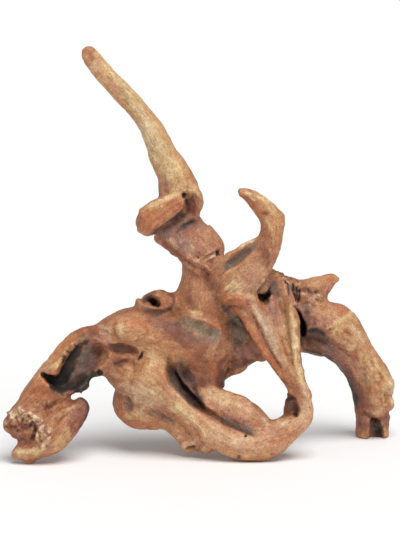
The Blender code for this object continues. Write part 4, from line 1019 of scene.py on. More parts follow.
grow((-117, -53, 45, 11), (-133, -60, 28, 15), (-150, -62, 12, 16), (-182, -62, -1, 8))
tear(1.0, [(12, 418, 10), (24, 424, 12), (36, 430, 12), (46, 438, 10)])
tear(0.5, [(34, 404, 8), (52, 408, 9), (66, 416, 9), (60, 434, 9)])
shape([(20, 410, 2.5), (28, 415, 2.5), (36, 418, 2.5), (44, 420, 2.5)], 2.2, 0.5)
sink([(16, 424, 2.5, -71), (25, 426, 3, -69), (34, 424, 3, -68), (35, 432, 2.5, -70)], 0.2)
shape([(39, 421, 2.5), (42, 431, 3), (44, 441, 3), (43, 448, 2.5)], 2.4, 0.5)
shape([(35, 424, 2.5), (35, 433, 3), (31, 441, 3)], -3.6, 0.4)
shape([(18, 431, 3), (26, 436, 3), (30, 443, 2)], 1.8, 0.4)
shape([(14, 442, 5)], -5.5, 0.1, reach=40)
shape([(60, 408, 3), (52, 415, 3), (47, 424, 3), (49, 438, 3), (40, 450, 3), (26, 453, 3), (13, 452, 2.5)],
      1.6, 0.6)
shape([(66, 404, 3), (58, 412, 3), (54, 424, 3), (54, 438, 3), (44, 451, 3)], -1.6, 0.6)
shape([(78, 402, 3), (68, 410, 3), (62, 422, 3), (61, 436, 3), (52, 449, 3)], 1.0, 0.4)
shape([(83, 408, 3), (75, 418, 3), (70, 432, 3)], -1.0, 0.5)
shape([(72, 397, 3), (81, 399, 3), (87, 406, 3), (87, 415, 3)], 1.4, 0.5)
shape([(36, 413, 2), (48, 409, 2), (58, 402, 2)], -1.2, 0.6)
stain_and_shade(SIENNA, 0.95, [(30, 404, 10), (46, 408, 10), (60, 404, 9), (74, 410, 14), (64, 430, 16), (44, 444, 12)])
stain_and_shade(BRICK, 1.0, [(64, 404, 5), (76, 405, 8), (79, 416, 8), (71, 428, 7), (62, 436, 4)])
stain_and_shade(MAROON, 0.6, [(72, 408, 2.5), (76, 418, 3), (70, 428, 2.5)])
stain_and_shade(BRICK, 0.8, [(34, 404, 5), (46, 404, 6), (54, 410, 5)])
stain_and_shade(MAROON, 0.7, [(38, 408, 2.5), (46, 411, 3), (54, 406, 3)])
stain_and_shade(MAROON, 0.6, [(27, 404, 2), (24, 408, 2)])
stain_and_shade(RUST, 0.7, [(28, 402, 6), (44, 402, 8), (58, 404, 6)])
stain_and_shade(RUST, 0.6, [(36, 410, 3.5), (48, 412, 4), (56, 406, 3)])
stain_and_shade(SIENNA, 0.9, [(12, 424, 8), (24, 434, 9)])
stain_and_shade(PEACH, 0.85, [(12, 416, 4), (22, 414, 5), (34, 420, 5), (42, 428, 6), (43, 440, 6)])
stain_and_shade(CREAM, 0.8, [(13, 413, 2.5), (21, 411, 3), (29, 416, 3), (37, 419, 3), (44, 421, 2.5)])
stain_and_shade(CREAM, 0.8, [(39, 424, 2.5), (42, 432, 3), (44, 441, 3.5), (42, 447, 2.5)])
stain_and_shade(CREAM, 0.7, [(4, 420, 2.5), (8, 423, 2)])
stain_and_shade(EMBER, 0.6, [(18, 430, 3), (26, 436, 4), (28, 444, 3)])
# The umber in the pit under the tufts is painted shade.
stain_and_shade(UMBER, 0.95, [(16, 424, 2.5), (26, 426.5, 3), (35, 424, 2.8)])
stain_and_shade(MAROON, 0.9, [(35, 427, 2.2), (34, 434, 2.5), (29, 440, 3.5), (22, 443, 2)])
stain_and_shade(SIENNA, 0.8, [(56, 420, 5), (57, 430, 5)])
stain_and_shade(OCHRE, 0.9, [(62, 438, 6), (50, 448, 8)])
stain_and_shade(EMBER, 0.5, [(66, 410, 3), (61, 420, 3), (58, 430, 2.5)])
stain_and_shade(OCHRE, 0.95, [(84, 402, 1.6), (74, 406, 2.2), (64, 412, 2.4), (54, 418, 2.4), (50, 426, 2)])
stain_and_shade(TAN, 0.8, [(74, 405, 0.8), (62, 412, 1), (54, 418, 1)])
stain_and_shade(UMBER, 0.8, [(72, 411, 0.8), (62, 418, 1), (56, 425, 0.8)])
stain_and_shade(BLOND, 0.9, [(49, 440, 3.5), (40, 449, 4), (28, 453, 4), (16, 453, 4)])
stain_and_shade(CREAM, 0.7, [(36, 450, 2), (24, 452, 2), (14, 451, 2)])
stain_and_shade(OCHRE, 0.8, [(34, 456, 4), (22, 457, 3)])
stain_and_shade(TAN, 0.8, [(66, 426, 4), (64, 440, 5), (54, 450, 4)])
stain_and_shade(MAROON, 1.0, [(72, 399, 2), (80, 399, 2), (86, 404, 2.5), (87, 412, 3), (84, 421, 3), (77, 431, 2)],
      reach=30)
# The charcoal line along the foot's inner edge is painted shade.
stain_and_shade(SHADE_CHARCOAL, 0.7, [(70, 398, 1.4), (78, 397, 1.4), (86, 402, 1.4), (88, 412, 1.4), (84, 422, 1.2)],
      reach=30)
stain_and_shade(OCHRE, 0.6, [(72, 410, 0.8), (67, 420, 1), (62, 432, 1.4), (58, 442, 1.6)])
shape([(64, 412, 1.8), (58, 424, 1.8), (56, 436, 1.8)], -1.2, 0.6)
shape([(74, 408, 2), (69, 420, 2), (66, 432, 2)], -1.0, 0.6)
splinters(5, 70, [(10, 414, 4), (22, 416, 6), (33, 422, 6), (41, 434, 7), (43, 446, 5)],
          9, 2.3, 75, BUFF, MAROON, 1.3)
splinters(6, 34, [(9, 424, 4), (16, 430, 6), (26, 438, 6)], 8, 2.0, 75, SIENNA, MAROON, 1.4)
splinters(7, 18, [(30, 410, 4), (44, 408, 5), (56, 404, 4)], 10, 1.1, 40, OCHRE, RUST, 1.6)
stain_and_shade(MAROON, 0.9, [(22, 427, 2), (29, 426, 2.5), (35, 424, 2), (35, 431, 2), (30, 438, 2.5)])
stain_and_shade(MAROON, 0.6, [(34, 408, 2), (42, 407, 3), (50, 405, 3), (56, 400, 3)])
stain_and_shade(BUFF, 0.5, [(12, 415, 3), (22, 414, 4), (32, 418, 4)])
stain_and_shade(BUFF, 0.5, [(40, 422, 4), (43, 432, 4), (42, 443, 4)])
splinters(13, 60, [(9, 417, 4), (20, 413, 5), (32, 418, 5), (41, 426, 6), (43, 440, 6)],
          8, 2.0, 70, CREAM, BRICK, 1.2)
stain_and_shade(MAROON, 0.7, [(68, 400, 2), (76, 402, 4), (82, 408, 4), (83, 417, 3)], reach=30)
stain_and_shade(BRICK, 0.7, [(72, 412, 4), (75, 422, 4)])
stain_and_shade(MAROON, 0.7, [(33, 411, 2.5), (39, 412, 2.5)])
stain_and_shade(BRICK, 0.6, [(48, 394, 3), (58, 398, 4)])


# ---- The barky shoulder and the spur ----
# Behind the strap the bark is left on in splits, painted dark as shade, and the stump of a side root sticks
# out, smooth and sharp, to the right.

grow((60, -12, 172, 14), (84, 0, 160, 16), (108, 13, 152, 14), (136, 25, 173, 7))
tear(1.0, [(278, 274, 6), (290, 282, 9), (298, 292, 9), (312, 294, 9), (320, 302, 6)])
shape([(306, 288, 2.5), (310, 290, 2.5), (314, 292, 2)], -2.6, 0.4)
shape([(303, 285, 2), (309, 286, 2), (315, 288, 2)], 1.8, 0.5)
shape([(303, 297, 2), (309, 294, 2), (316, 297, 2), (321, 301, 2)], 1.8, 0.5)
shape([(276, 279, 2), (284, 278, 2), (293, 279, 2)], 1.8, 0.5)
shape([(278, 272, 2), (285, 275, 2), (292, 277, 2)], -1.6, 0.5)
shape([(308, 280, 4), (322, 278, 4), (336, 276, 3)], 1.0, 0.4)
shape([(312, 292, 3), (322, 290, 3), (331, 286, 2.5)], -1.0, 0.4)
shape([(338, 277, 3), (338, 282, 3)], 1.5, 0.3)
stain_and_shade(SIENNA, 0.95, [(278, 274, 8), (292, 282, 10), (306, 292, 12), (312, 302, 10)])
stain_and_shade(OCHRE, 0.7, [(274, 270, 3), (280, 274, 3)])
stain_and_shade(PEACH, 0.7, [(302, 296, 3), (312, 294, 4), (318, 298, 5), (310, 303, 4)])
stain_and_shade(OCHRE, 0.95, [(306, 282, 6), (320, 281, 6), (336, 279, 7)])
stain_and_shade(EMBER, 0.6, [(318, 279, 3), (328, 278, 4), (336, 280, 4)])
stain_and_shade(ROSE, 0.8, [(320, 292, 4), (328, 288, 4), (334, 285, 3)])
splinters(8, 30, [(276, 272, 3), (286, 277, 4), (296, 283, 4)], 7, 1.4, 40, TAN, UMBER, 1.4)
splinters(9, 34, [(302, 292, 4), (312, 295, 5), (318, 301, 4), (308, 304, 4)], 7, 1.6, 60, BUFF, UMBER, 1.3)
stain_and_shade(MAUVE, 0.85, [(290, 283, 2.5), (294, 292, 4), (298, 300, 3)])
stain_and_shade(MAROON, 0.6, [(292, 286, 2), (297, 296, 3)])
stain_and_shade(PEACH, 0.8, [(277, 279, 0.8), (285, 278, 1), (292, 279, 0.8)])
stain_and_shade(PEACH, 0.8, [(295, 282, 1.2), (299, 285, 1.4)])
# The umber lines in the grooves here are painted shade.
stain_and_shade(UMBER, 0.9, [(278, 272, 0.8), (286, 276, 1.2), (293, 280, 0.8)])
stain_and_shade(UMBER, 0.9, [(322, 297, 1.6), (321, 302, 1.6)])
stain_and_shade(MAROON, 0.9, [(301, 289, 1.8), (307, 290, 2.2), (313, 292, 0.8)])
stain_and_shade(UMBER, 0.8, [(302, 291, 0.8), (308, 291, 1), (313, 292, 0.5)])
# In each split below, the umber and black are painted shade.
for rows in (
    [(284, 280, 2), (287.5, 285, 2), (289, 296, 2)],
    [(293, 282, 2), (293.5, 291, 2), (295.5, 302, 2)],
    [(296, 286, 1.6), (297, 294, 1.6), (298, 302, 1.6)],
    [(300, 288, 2), (299.5, 296, 2), (298, 303, 2)],
):
    shape(rows, -4.4, 0.6)
    stain_and_shade(UMBER, 0.9, thinner(rows, 1.2))
    stain_and_shade(SHADE_BLACK, 0.9, thinner(rows, 0.5))
# The dusk, umber, charcoal and black in the gap between the strap and the far arm are painted shade.
stain_and_shade(SHADE_DUSK, 0.95, [(303, 303, 3), (306, 309, 4.5), (306, 317, 3.5)])
stain_and_shade(SLATE, 0.5, [(304, 305, 2), (306, 311, 2.5)])
stain_and_shade(MAROON, 0.85, [(309, 312, 3), (313, 319, 4.5), (317, 326, 4.5)])
stain_and_shade(UMBER, 0.6, [(308, 320, 3), (312, 327, 4), (320, 330, 3)])
stain_and_shade(SHADE_DUSK, 0.85, [(303, 304, 2.5), (306, 309, 4), (307, 316, 3)], reach=30)
stain_and_shade(MAROON, 0.6, [(309, 313, 2.5), (313, 320, 4), (317, 327, 4)], reach=30)
stain_and_shade(CREAM, 0.8, [(293, 303, 1.2), (297, 304, 1.2)])
sink([(295, 305, 1.5, -25), (297.5, 310, 2.2, -22), (300.5, 316, 2.2, -16)], 0.5, reach=48)
sink([(295, 308, 1.8, -2), (298, 314, 2.6, 0), (301, 321, 3.4, 2), (303, 328, 4, 4), (303, 334, 3.5, 2)], 0.5)
stain_and_shade(SHADE_BLACK, 1.0, [(294, 305, 0.8), (297, 311, 1.6), (300, 317, 1.8), (302, 324, 2.6), (303, 331, 2.6),
                   (302, 338, 1.5)])
stain_and_shade(SHADE_CHARCOAL, 0.8, [(296, 307, 2), (300, 313, 2.5), (304, 320, 2.5), (308, 328, 3)], soft=1.0)
stain_and_shade(UMBER, 0.6, [(304, 305, 3), (307, 312, 4), (308, 320, 3)], reach=30)
stain_and_shade(TAN, 0.7, [(316, 300, 3), (322, 303, 2.5)])


# ---- The far arm and its split foot ----
# The longest limb, arched back to the far foot. Its top is rubbed and mottled, its inner side is painted
# dark and purple as shade, and its foot is split in two stubs under a broken ledge.

grow((15, -14, 113, 26), (45, -8, 114, 25), (75, 0, 124, 30), (100, 9, 130, 32), (125, 18, 121, 27),
     (145, 27, 108, 24), (160, 35, 88, 20), (173, 41, 64, 21), (175, 46, 42, 19), (174, 49, 10, 17))
sink([(303, 342, 9, -4), (314, 343, 8.5, -4), (325, 347, 7, 0), (335, 356, 5, 8)], 0.45)
shape([(308, 328, 3), (318, 327, 3), (328, 331, 3)], 1.6, 0.5)
shape([(308, 341, 3), (318, 344, 3), (328, 352, 3)], 1.4, 0.2)
shape([(304, 348, 2.5), (316, 350, 2.5), (326, 355, 2.5)], -1.2, 0.3)
shape([(330, 342, 3), (340, 350, 3), (350, 356, 3), (360, 361, 2.5)], -1.6, 0.6)
shape([(304, 312, 5), (312, 320, 5), (320, 326, 4)], -2.0, 0.1)
shape([(322, 331, 2.5), (334, 324, 2.5), (346, 317, 2.5), (352, 312, 2.5)], 1.2, 0.5)
shape([(326, 312, 4), (336, 309, 4.5), (344, 312, 4)], 1.2, 0.2)
shape([(336, 315, 2), (342, 316, 2), (346, 312, 2)], -1.0, 0.6)
shape([(330, 329, 2.2)], -3, 0.4)
shape([(362, 362, 3), (364, 376, 3.5), (366, 390, 3.5), (367, 404, 3)], -1.4, 0.3)
shape([(346, 366, 4), (354, 378, 4), (360, 394, 4)], 0.9, 0.2)
shape([(352, 324, 3), (360, 338, 3.5), (368, 350, 3)], 0.9, 0.3)
shape([(391, 384, 7)], 2.6, reach=45)
shape([(391, 404, 5.5)], 3.6, reach=45)
shape([(386, 396, 3), (391, 396, 4.5)], -4.0, 0.1, 0, reach=45)
shape([(386, 413, 3), (390, 413, 4)], -3.0, 0.1, 0, reach=45)
shape([(360, 406, 3), (370, 411, 3), (380, 415, 3), (388, 410, 3)], 2.4, 0.5)
shape([(364, 415, 3), (372, 419, 3.5), (381, 423, 3.5)], -2.0, 0.3)
sink([(374, 423, 5, 40), (378, 430, 6.5, 45), (378, 440, 6.5, 45)], 0.4)
shape([(323, 356, 3), (320, 352, 2)], 1.5, 0.3)
stain_and_shade(OCHRE, 0.95, [(312, 306, 10), (335, 316, 14), (352, 336, 16), (368, 362, 16), (378, 388, 16),
                    (384, 412, 12)])
stain_and_shade(PEACH, 0.8, [(314, 308, 6), (326, 316, 7), (338, 310, 6)])
stain_and_shade(ROSE, 0.6, [(312, 316, 5), (322, 322, 5), (334, 320, 4)])
stain_and_shade(EMBER, 0.6, [(332, 307, 2.5), (342, 310, 3), (338, 316, 2.5)])
stain_and_shade(TAN, 0.6, [(344, 312, 5), (354, 326, 7), (364, 344, 8), (374, 360, 8)])
stain_and_shade(EMBER, 0.5, [(372, 352, 2.5), (366, 346, 2), (382, 366, 2)])
stain_and_shade(BLOND, 0.75, [(322, 332, 1.5), (333, 325, 1.8), (345, 318, 2.4), (353, 312, 2.2)])
stain_and_shade(BLOND, 0.7, [(330, 334, 2), (340, 330, 3), (348, 326, 2.5)])
stain_and_shade(CREAM, 0.6, [(350, 324, 1.8), (357, 334, 2.4), (363, 345, 2)])
stain_and_shade(TAN, 0.7, [(340, 328, 5), (350, 342, 6), (358, 352, 5)])
stain_and_shade(BLOND, 0.6, [(366, 356, 4), (376, 368, 6), (384, 380, 7), (386, 392, 6)])
stain_and_shade(MOSS, 0.4, [(370, 372, 5), (368, 384, 5)])
stain_and_shade(ROSE, 0.75, [(344, 354, 4), (352, 364, 5.5), (358, 376, 5)])
stain_and_shade(PEACH, 0.6, [(374, 394, 5), (376, 404, 6), (384, 406, 5)])
stain_and_shade(EMBER, 0.6, [(370, 404, 2), (378, 408, 2.5), (384, 404, 1.5)])
stain_and_shade(CREAM, 0.6, [(391, 376, 3), (392, 388, 3), (393, 404, 3)])
stain_and_shade(CREAM, 0.4, [(372, 412, 3), (384, 410, 3)])
# The umber, maroon, mauve, charcoal and dusk on the inner side and under the ledges are painted shade.
stain_and_shade(UMBER, 0.95, [(303, 342, 11), (316, 344, 11), (328, 350, 7), (338, 359, 5), (346, 371, 4),
                    (352, 382, 3.5), (358, 396, 5), (359, 410, 5)], reach=30)
stain_and_shade(MAROON, 0.6, [(308, 343, 3), (320, 346, 3), (332, 355, 3)], reach=30)
stain_and_shade(UMBER, 0.6, [(306, 344, 4), (316, 346, 3), (328, 354, 2)])
stain_and_shade(MAUVE, 0.7, [(322, 343, 2.5), (330, 350, 4), (340, 360, 4), (348, 370, 3)])
stain_and_shade(RUST, 0.4, [(334, 352, 1.5), (344, 364, 2), (352, 376, 1.5)])
stain_and_shade(UMBER, 1.0, [(302, 336, 3.5), (314, 334, 3.5), (324, 337, 3), (333, 345, 1.5)], reach=30)
shape([(303, 333, 2.5), (311, 331, 2.5), (319, 332, 2.5), (327, 337, 2)], -3.0, 0.3, inward=0.8)
stain_and_shade(UMBER, 0.9, [(303, 334, 4), (312, 334, 5), (321, 336, 5), (329, 342, 3)], reach=30)
stain_and_shade(SHADE_CHARCOAL, 0.4, [(303, 335, 4), (312, 335, 4.5), (321, 338, 4.5), (329, 344, 2.5)], reach=30)
stain_and_shade(SHADE_CHARCOAL, 0.8, [(303, 332, 2), (311, 331, 2.2), (319, 332, 2.4), (326, 336, 1.6)], reach=30)
stain_and_shade(SHADE_CHARCOAL, 0.6, [(302, 334, 1.2), (302, 343, 1.6), (304, 350, 1)], soft=1.0, reach=30)
stain_and_shade(SHADE_CHARCOAL, 0.7, [(303, 350, 1.5), (314, 352, 1.5), (324, 356, 1.4), (331, 360, 1.4)], reach=30)
stain_and_shade(SHADE_CHARCOAL, 0.85, [(324, 355, 1), (331, 359, 1.2), (337, 367, 1.6), (344, 376, 1.8), (351, 386, 2),
                       (355, 397, 2), (357, 411, 1.6)])
stain_and_shade(MAROON, 0.8, [(344, 366, 1.5), (352, 378, 2), (360, 388, 3), (363, 398, 3.5), (362, 408, 3)])
stain_and_shade(BRICK, 0.8, [(342, 350, 0.8), (350, 356, 1.4), (359, 361, 1.2), (362, 370, 0.8)])
stain_and_shade(UMBER, 0.6, [(346, 354, 0.6), (354, 359, 0.8)])
stain_and_shade(MAROON, 0.7, [(328, 337, 2), (336, 345, 2), (344, 351, 1.4)])
stain_and_shade(CREAM, 0.4, [(338, 334, 3), (348, 344, 4), (356, 354, 3)])
stain_and_shade(SHADE_DUSK, 0.7, [(304, 320, 4), (310, 324, 4)])
stain_and_shade(MAROON, 0.7, [(322, 324, 3), (326, 330, 3), (332, 334, 2)])
# The black in the small pit is painted shade.
stain_and_shade(SHADE_BLACK, 0.9, [(330, 329, 0.8)])
stain_and_shade(SLATE, 0.35, [(363, 366, 3), (364, 380, 3.5)])
stain_and_shade(BRICK, 0.9, [(362, 416, 6), (364, 428, 7), (387, 420, 5), (386, 430, 5)])
stain_and_shade(BRICK, 0.7, [(364, 396, 3), (368, 406, 4), (376, 412, 3)])
stain_and_shade(MAROON, 0.6, [(361, 416, 3), (364, 424, 4), (387, 418, 2), (387, 428, 2)])
# The umber under the ledge above the feet and the dusk and charcoal between the stubs are painted shade.
stain_and_shade(UMBER, 0.9, [(362, 412, 1.4), (371, 417, 2.4), (381, 421, 2.4)])
stain_and_shade(SHADE_DUSK, 1.0, [(374, 422, 3), (378, 430, 4.5), (378, 438, 4.5)], soft=0.7)
stain_and_shade(SHADE_CHARCOAL, 0.8, [(376, 424, 2), (378, 431, 2.5), (378, 438, 2.5)])
stain_and_shade(MAUVE, 0.5, [(361, 418, 3), (366, 423, 3)])
stain_and_shade(SIENNA, 0.6, [(362, 431, 3), (368, 434, 2)])
stain_and_shade(OCHRE, 0.8, [(361, 433, 3), (364, 439, 3.5)])
stain_and_shade(TAN, 0.6, [(385, 428, 2.5), (385, 436, 3)])
splinters(10, 40, [(340, 330, 5), (352, 346, 6), (364, 362, 6), (374, 380, 7), (380, 396, 7)],
          8, 0.8, 30, TAN, RUST, 1.5)
splinters(11, 24, [(372, 364, 6), (380, 378, 8), (384, 392, 7), (382, 404, 5)], 4, 1.1, 90, BLOND, RUST, 1.6)
stain_and_shade(UMBER, 0.6, [(390, 424, 2), (391, 434, 2)])


# ---- The back ----
# The side away from the front is scoured less: it has two strands and a broken stub, parted by shallow
# grooves, and keeps more of the red skin.

shape([(214, 290, 3), (222, 318, 3), (240, 342, 3), (270, 345, 3)], -1.2, 0.4, side="back")
shape([(150, 330, 3), (175, 326, 3), (195, 320, 3)], -1.2, 0.4, side="back")
stain_and_shade(SLATE, 0.5, [(196, 290, 8), (198, 320, 9), (196, 340, 8)], side="back")
stain_and_shade(UMBER, 0.6, [(170, 366, 8), (150, 368, 9), (132, 370, 7)], side="back")
stain_and_shade(MOSS, 0.5, [(310, 330, 8), (332, 350, 9), (350, 378, 8)], side="back")
stain_and_shade(TAN, 0.6, [(216, 260, 6), (216, 300, 7), (226, 332, 8), (262, 342, 8)], side="back")
stain_and_shade(BLOND, 0.5, [(108, 82, 5), (140, 115, 6), (160, 145, 6), (176, 190, 6)], side="back")
stain_and_shade(OCHRE, 0.7, [(120, 330, 10), (160, 322, 10), (192, 324, 8)], side="back")
stain_and_shade(UMBER, 0.5, [(222, 362, 6), (226, 368, 5)], side="back")
stain_and_shade(SIENNA, 0.9, [(282, 322, 9), (294, 332, 11), (306, 344, 10)], side="back")
stain_and_shade(SIENNA, 0.85, [(178, 370, 10), (192, 381, 13), (208, 392, 11)], side="back")
stain_and_shade(BRICK, 0.75, [(58, 386, 9), (70, 374, 10), (84, 362, 9)], side="back")
stain_and_shade(UMBER, 0.4, [(186, 372, 5), (196, 382, 6)], side="back")


# ---- The finished skin ----
# The whole root: sand and water have made its fibres stand out in fine ridges along every limb; its
# hollows are darkened as painted shade, and its crests lightened as a painted highlight.

SKIN_FACES = 190000
SKIN_MARGIN = 2e-6
LAST_WEAR = 2
SOFTENING = 8
LIMB_STEP = 4
CLOSEST = 2 * MM
GRAIN_PARTS = 8
TORN_REACH = 20

move_skin(place)
reskin(wood, LAST_WEAR)
place, facing, near, sheets, wood_tree = read_skin(SOFTENING)


def cloud(points, size, seed):
    """Soft noise about 0 at points in metres, with waves of the given size in mm."""
    shift = Vector((seed * 7.31, seed * 3.17, seed * 5.93))
    scaled = points / (size * MM)
    return np.array([noise.noise(Vector(p) + shift) for p in scaled])


def limb_line(rows):
    """A limb's middle in metres with its half width, as it stands in the object."""
    line = []
    for across, back, seen, width in smooth_line(rows, LIMB_STEP):
        up = (seen - back * math.sin(LOOK_DOWN)) / math.cos(LOOK_DOWN)
        line.append((across + SHIFT[0], back + SHIFT[1], up + SHIFT[2], width))
    return np.array(line) * MM


def along_fibres(points):
    """Where each point lies in the grain: two measures across the fibres and one along them."""
    total = np.zeros((len(points), 3))
    weight = np.zeros(len(points))
    for rows in fibres:
        line = limb_line(rows)
        start, end = line[:-1, :3], line[1:, :3]
        run = end - start
        length = np.linalg.norm(run, axis=1)
        forward = run / length[:, None]
        wide = [Vector((0, 1, 0)).cross(Vector(forward[0])).normalized()]
        for a, b in zip(forward, forward[1:]):
            turn = Vector(a).rotation_difference(Vector(b))
            wide.append((turn @ wide[-1]).normalized())
        wide = np.array(wide)
        deep = np.cross(forward, wide)
        travelled = np.concatenate(([0], np.cumsum(length)[:-1]))
        offset = points[:, None, :] - start[None]
        share = np.clip(np.einsum("pki,ki->pk", offset, forward) / length, 0, 1)
        gap = np.linalg.norm(offset - share[:, :, None] * run[None], axis=2)
        nearest = gap.argmin(1)
        pick = np.arange(len(points))
        foot = offset[pick, nearest] - share[pick, nearest][:, None] * run[nearest]
        local = np.stack((
            np.einsum("pi,pi->p", foot, wide[nearest]),
            np.einsum("pi,pi->p", foot, deep[nearest]),
            travelled[nearest] + share[pick, nearest] * length[nearest],
        ), axis=1)
        nearness = (line[nearest, 3] / np.maximum(gap[pick, nearest], CLOSEST)) ** 5
        total += local * nearness[:, None]
        weight += nearness
    return total / weight[:, None]


def read_grain():
    """The grain at every point of the skin, found part by part to spare memory."""
    return np.concatenate([along_fibres(part) for part in np.array_split(place, GRAIN_PARTS)])


def drawn_out(share):
    """The grain with its length cut to a share, so that noise on it is drawn out along the fibres."""
    return grain * np.array([1, 1, share])


def torn_skin():
    """How far the skin is torn at each point, from 0 to 1."""
    torn = np.zeros(len(place))
    for strength, rows in tears:
        index, out, _, close = touched(rows, "front", TORN_REACH, wobble)
        torn[index] = np.maximum(torn[index], strength * (1 - out**2) * close)
    return torn


grain = read_grain()
wobble = 0.30 * cloud(place, 6, 1) + 0.15 * cloud(place, 2.5, 2)
torn = torn_skin()
broad = cloud(drawn_out(0.13), 5.5, 3)
thin = cloud(drawn_out(0.13), 2.6, 4)
ridged = 1 - 2 * np.abs(cloud(drawn_out(0.16), 4.2, 5))
tangled = cloud(drawn_out(0.3), 3.0, 7)
dents = cloud(place, 10, 6)
pits = cloud(place, 4.5, 8)
relief = 0.3 * broad + 0.2 * thin + 0.7 * dents + 0.4 * pits
relief += torn * (ridged + 1.3 * tangled)
place += facing * (relief * MM)[:, None]

inner_box = np.array(cad_box[0]) + SKIN_MARGIN, np.array(cad_box[1]) - SKIN_MARGIN
move_skin(np.clip(place, *inner_box))
thinned = wood.modifiers.new("thinned", "DECIMATE")
thinned.ratio = min(1.0, SKIN_FACES / (2 * len(wood.data.polygons)))
settled(wood)
place, facing, near, sheets, wood_tree = read_skin(SOFTENING, inner_box)
grain = read_grain()
wobble = 0.5 * cloud(place, 9, 1) + 0.3 * cloud(place, 3.5, 2)

# A mark, stain or painted shade alike, soaks out past its drawn width, by a share of it and half a mm, and
# fades over part of the way.
SIGHT_SLACK = 1.2
SOAK_SHARE = 1.3
SOAK = 0.5
FADE = 0.6
OPEN_END = -0.05


def seen_from(side):
    """Which points of the skin are in plain sight from a side."""
    shown = np.zeros(len(place), bool)
    for i, ((u, v), deep) in enumerate(zip(*sheets[side])):
        start, way = sight(u, v, side)
        hit = wood_tree.ray_cast(start, way)[0]
        if hit is not None:
            met = (hit - EYE).dot(AWAY) if side == "front" else -hit.y
            shown[i] = deep < met / MM + SIGHT_SLACK
    return shown


def lay_stains_and_shades(side):
    """Lays one side's stains, painted shade and painted highlights on the points in plain sight from it, and
    says which points those are.
    """
    shown = seen_from(side)
    for tone, strength, rows, drawn_on, ends, soft, reach in stains_and_shades:
        if drawn_on == side:
            wider = [(u, v, SOAK_SHARE * width + SOAK) for u, v, width in rows]
            index, out, share, close = touched(wider, side, reach, wobble)
            cover = strength * ease(1 - out, 0, FADE * soft) * close * shown[index]
            if ends and len(rows) > 1:
                cover = cover * ease(share, OPEN_END, ends) * ease(1 - share, OPEN_END, ends)
            stained_and_shaded[index] += (np.array(tone) - stained_and_shaded[index]) * cover[:, None]
    return shown


stained_and_shaded = np.tile(np.array(SIENNA), (len(place), 1))
in_front = lay_stains_and_shades("front")

# The tones of the front run on round the limbs to the sides that the front view hides.
SPREAD_TURNS = 60
OWN_SHARE = 0.3
front_tones = KDTree(int(in_front.sum()))
for i in np.nonzero(in_front)[0]:
    front_tones.insert(place[i], int(i))
front_tones.balance()
hidden = np.nonzero(~in_front)[0]
stained_and_shaded[hidden] = stained_and_shaded[[front_tones.find(place[i])[1] for i in hidden]]
fixed = stained_and_shaded[in_front]
for _ in range(SPREAD_TURNS):
    stained_and_shaded = OWN_SHARE * stained_and_shaded + (1 - OWN_SHARE) * near.mean(stained_and_shaded)
    stained_and_shaded[in_front] = fixed
lay_stains_and_shades("back")

# How hollow each place is, from 0 on a crest to 1 in a dip, over a few mm and over a whole limb.
NARROW_TURNS, BROAD_TURNS = 8, 50
DIP_SHARE, BEND_SHARE = 0.9, 0.16
HOLLOW_LIMIT = 1.5
smoothed = near.blurred(place, NARROW_TURNS)
dip = np.einsum("ij,ij->i", smoothed - place, facing) / MM
smoothed = near.blurred(smoothed, BROAD_TURNS)
bend = np.einsum("ij,ij->i", smoothed - place, facing) / MM
hollow = np.clip(DIP_SHARE * dip + BEND_SHARE * bend, -HOLLOW_LIMIT, HOLLOW_LIMIT)
hollow = 0.5 + hollow / (2 * HOLLOW_LIMIT)

# How open each place is to the sky, for painted shade where it is sheltered. A few rays leave each place
# in a spiral, and one that meets wood still counts a little, by how far it got.
SKY_REACH = 45 * MM
SKY_START = 0.8
SKY_RAYS = 8
SKY_SPREAD = 0.9
SKY_TURN = 2.4
SKY_BLOCKED = 0.4
SKY_SOFTENING = 3
turns = np.random.default_rng(7).random(len(place)) * 2 * math.pi
openness = np.zeros(len(place))
for k in range(SKY_RAYS):
    lift = math.acos(1 - (k + 0.5) / SKY_RAYS * SKY_SPREAD)
    for i in range(len(place)):
        up = Vector(facing[i])
        side = up.orthogonal().normalized()
        angle = turns[i] + k * SKY_TURN
        lean = side * math.cos(angle) + up.cross(side) * math.sin(angle)
        way = up * math.cos(lift) + lean * math.sin(lift)
        hit = wood_tree.ray_cast(Vector(place[i]) + up * SKY_START * MM, way, SKY_REACH)
        openness[i] += 1 if hit[0] is None else SKY_BLOCKED * hit[3] / SKY_REACH
openness = near.blurred(openness / SKY_RAYS, SKY_SOFTENING)


def write_skin(name, kind, values):
    """Writes values on the skin's points, for the finish to read."""
    attribute = wood.data.attributes.new(name, kind, "POINT")
    field = {"FLOAT": "value", "FLOAT_VECTOR": "vector", "FLOAT_COLOR": "color"}[kind]
    attribute.data.foreach_set(field, np.ascontiguousarray(values, dtype=np.float32).ravel())


write_skin("grain", "FLOAT_VECTOR", grain)
write_skin("stain_and_shade", "FLOAT_COLOR", np.concatenate((stained_and_shaded, np.ones((len(place), 1))), axis=1))
write_skin("hollow", "FLOAT", hollow)
write_skin("torn", "FLOAT", torn_skin())
write_skin("openness", "FLOAT", openness)
wood.data.shade_smooth()


# ---- The wood's finish ----
# Bare scoured wood, dry and a little silky: streaks of lighter and darker fibres, rusty and grey
# mottling, pores, painted shade in the dips and sheltered places, and a painted highlight on the crests.

PORE = (0.05, 0.022, 0.014)
PLAIN = (1.0, 1.0, 1.0)
SILK = 0.35
BUMP_STRENGTH = 0.6
BUMP_HEIGHT = 0.8 * MM

finish = bpy.data.materials.new("weathered_root_wood")
finish.use_nodes = True
tree = finish.node_tree
shader = tree.nodes["Principled BSDF"]


def node(kind, **settings):
    """A new node of the finish, with its settings."""
    made = tree.nodes.new(kind)
    for key, value in settings.items():
        setattr(made, key, value)
    return made


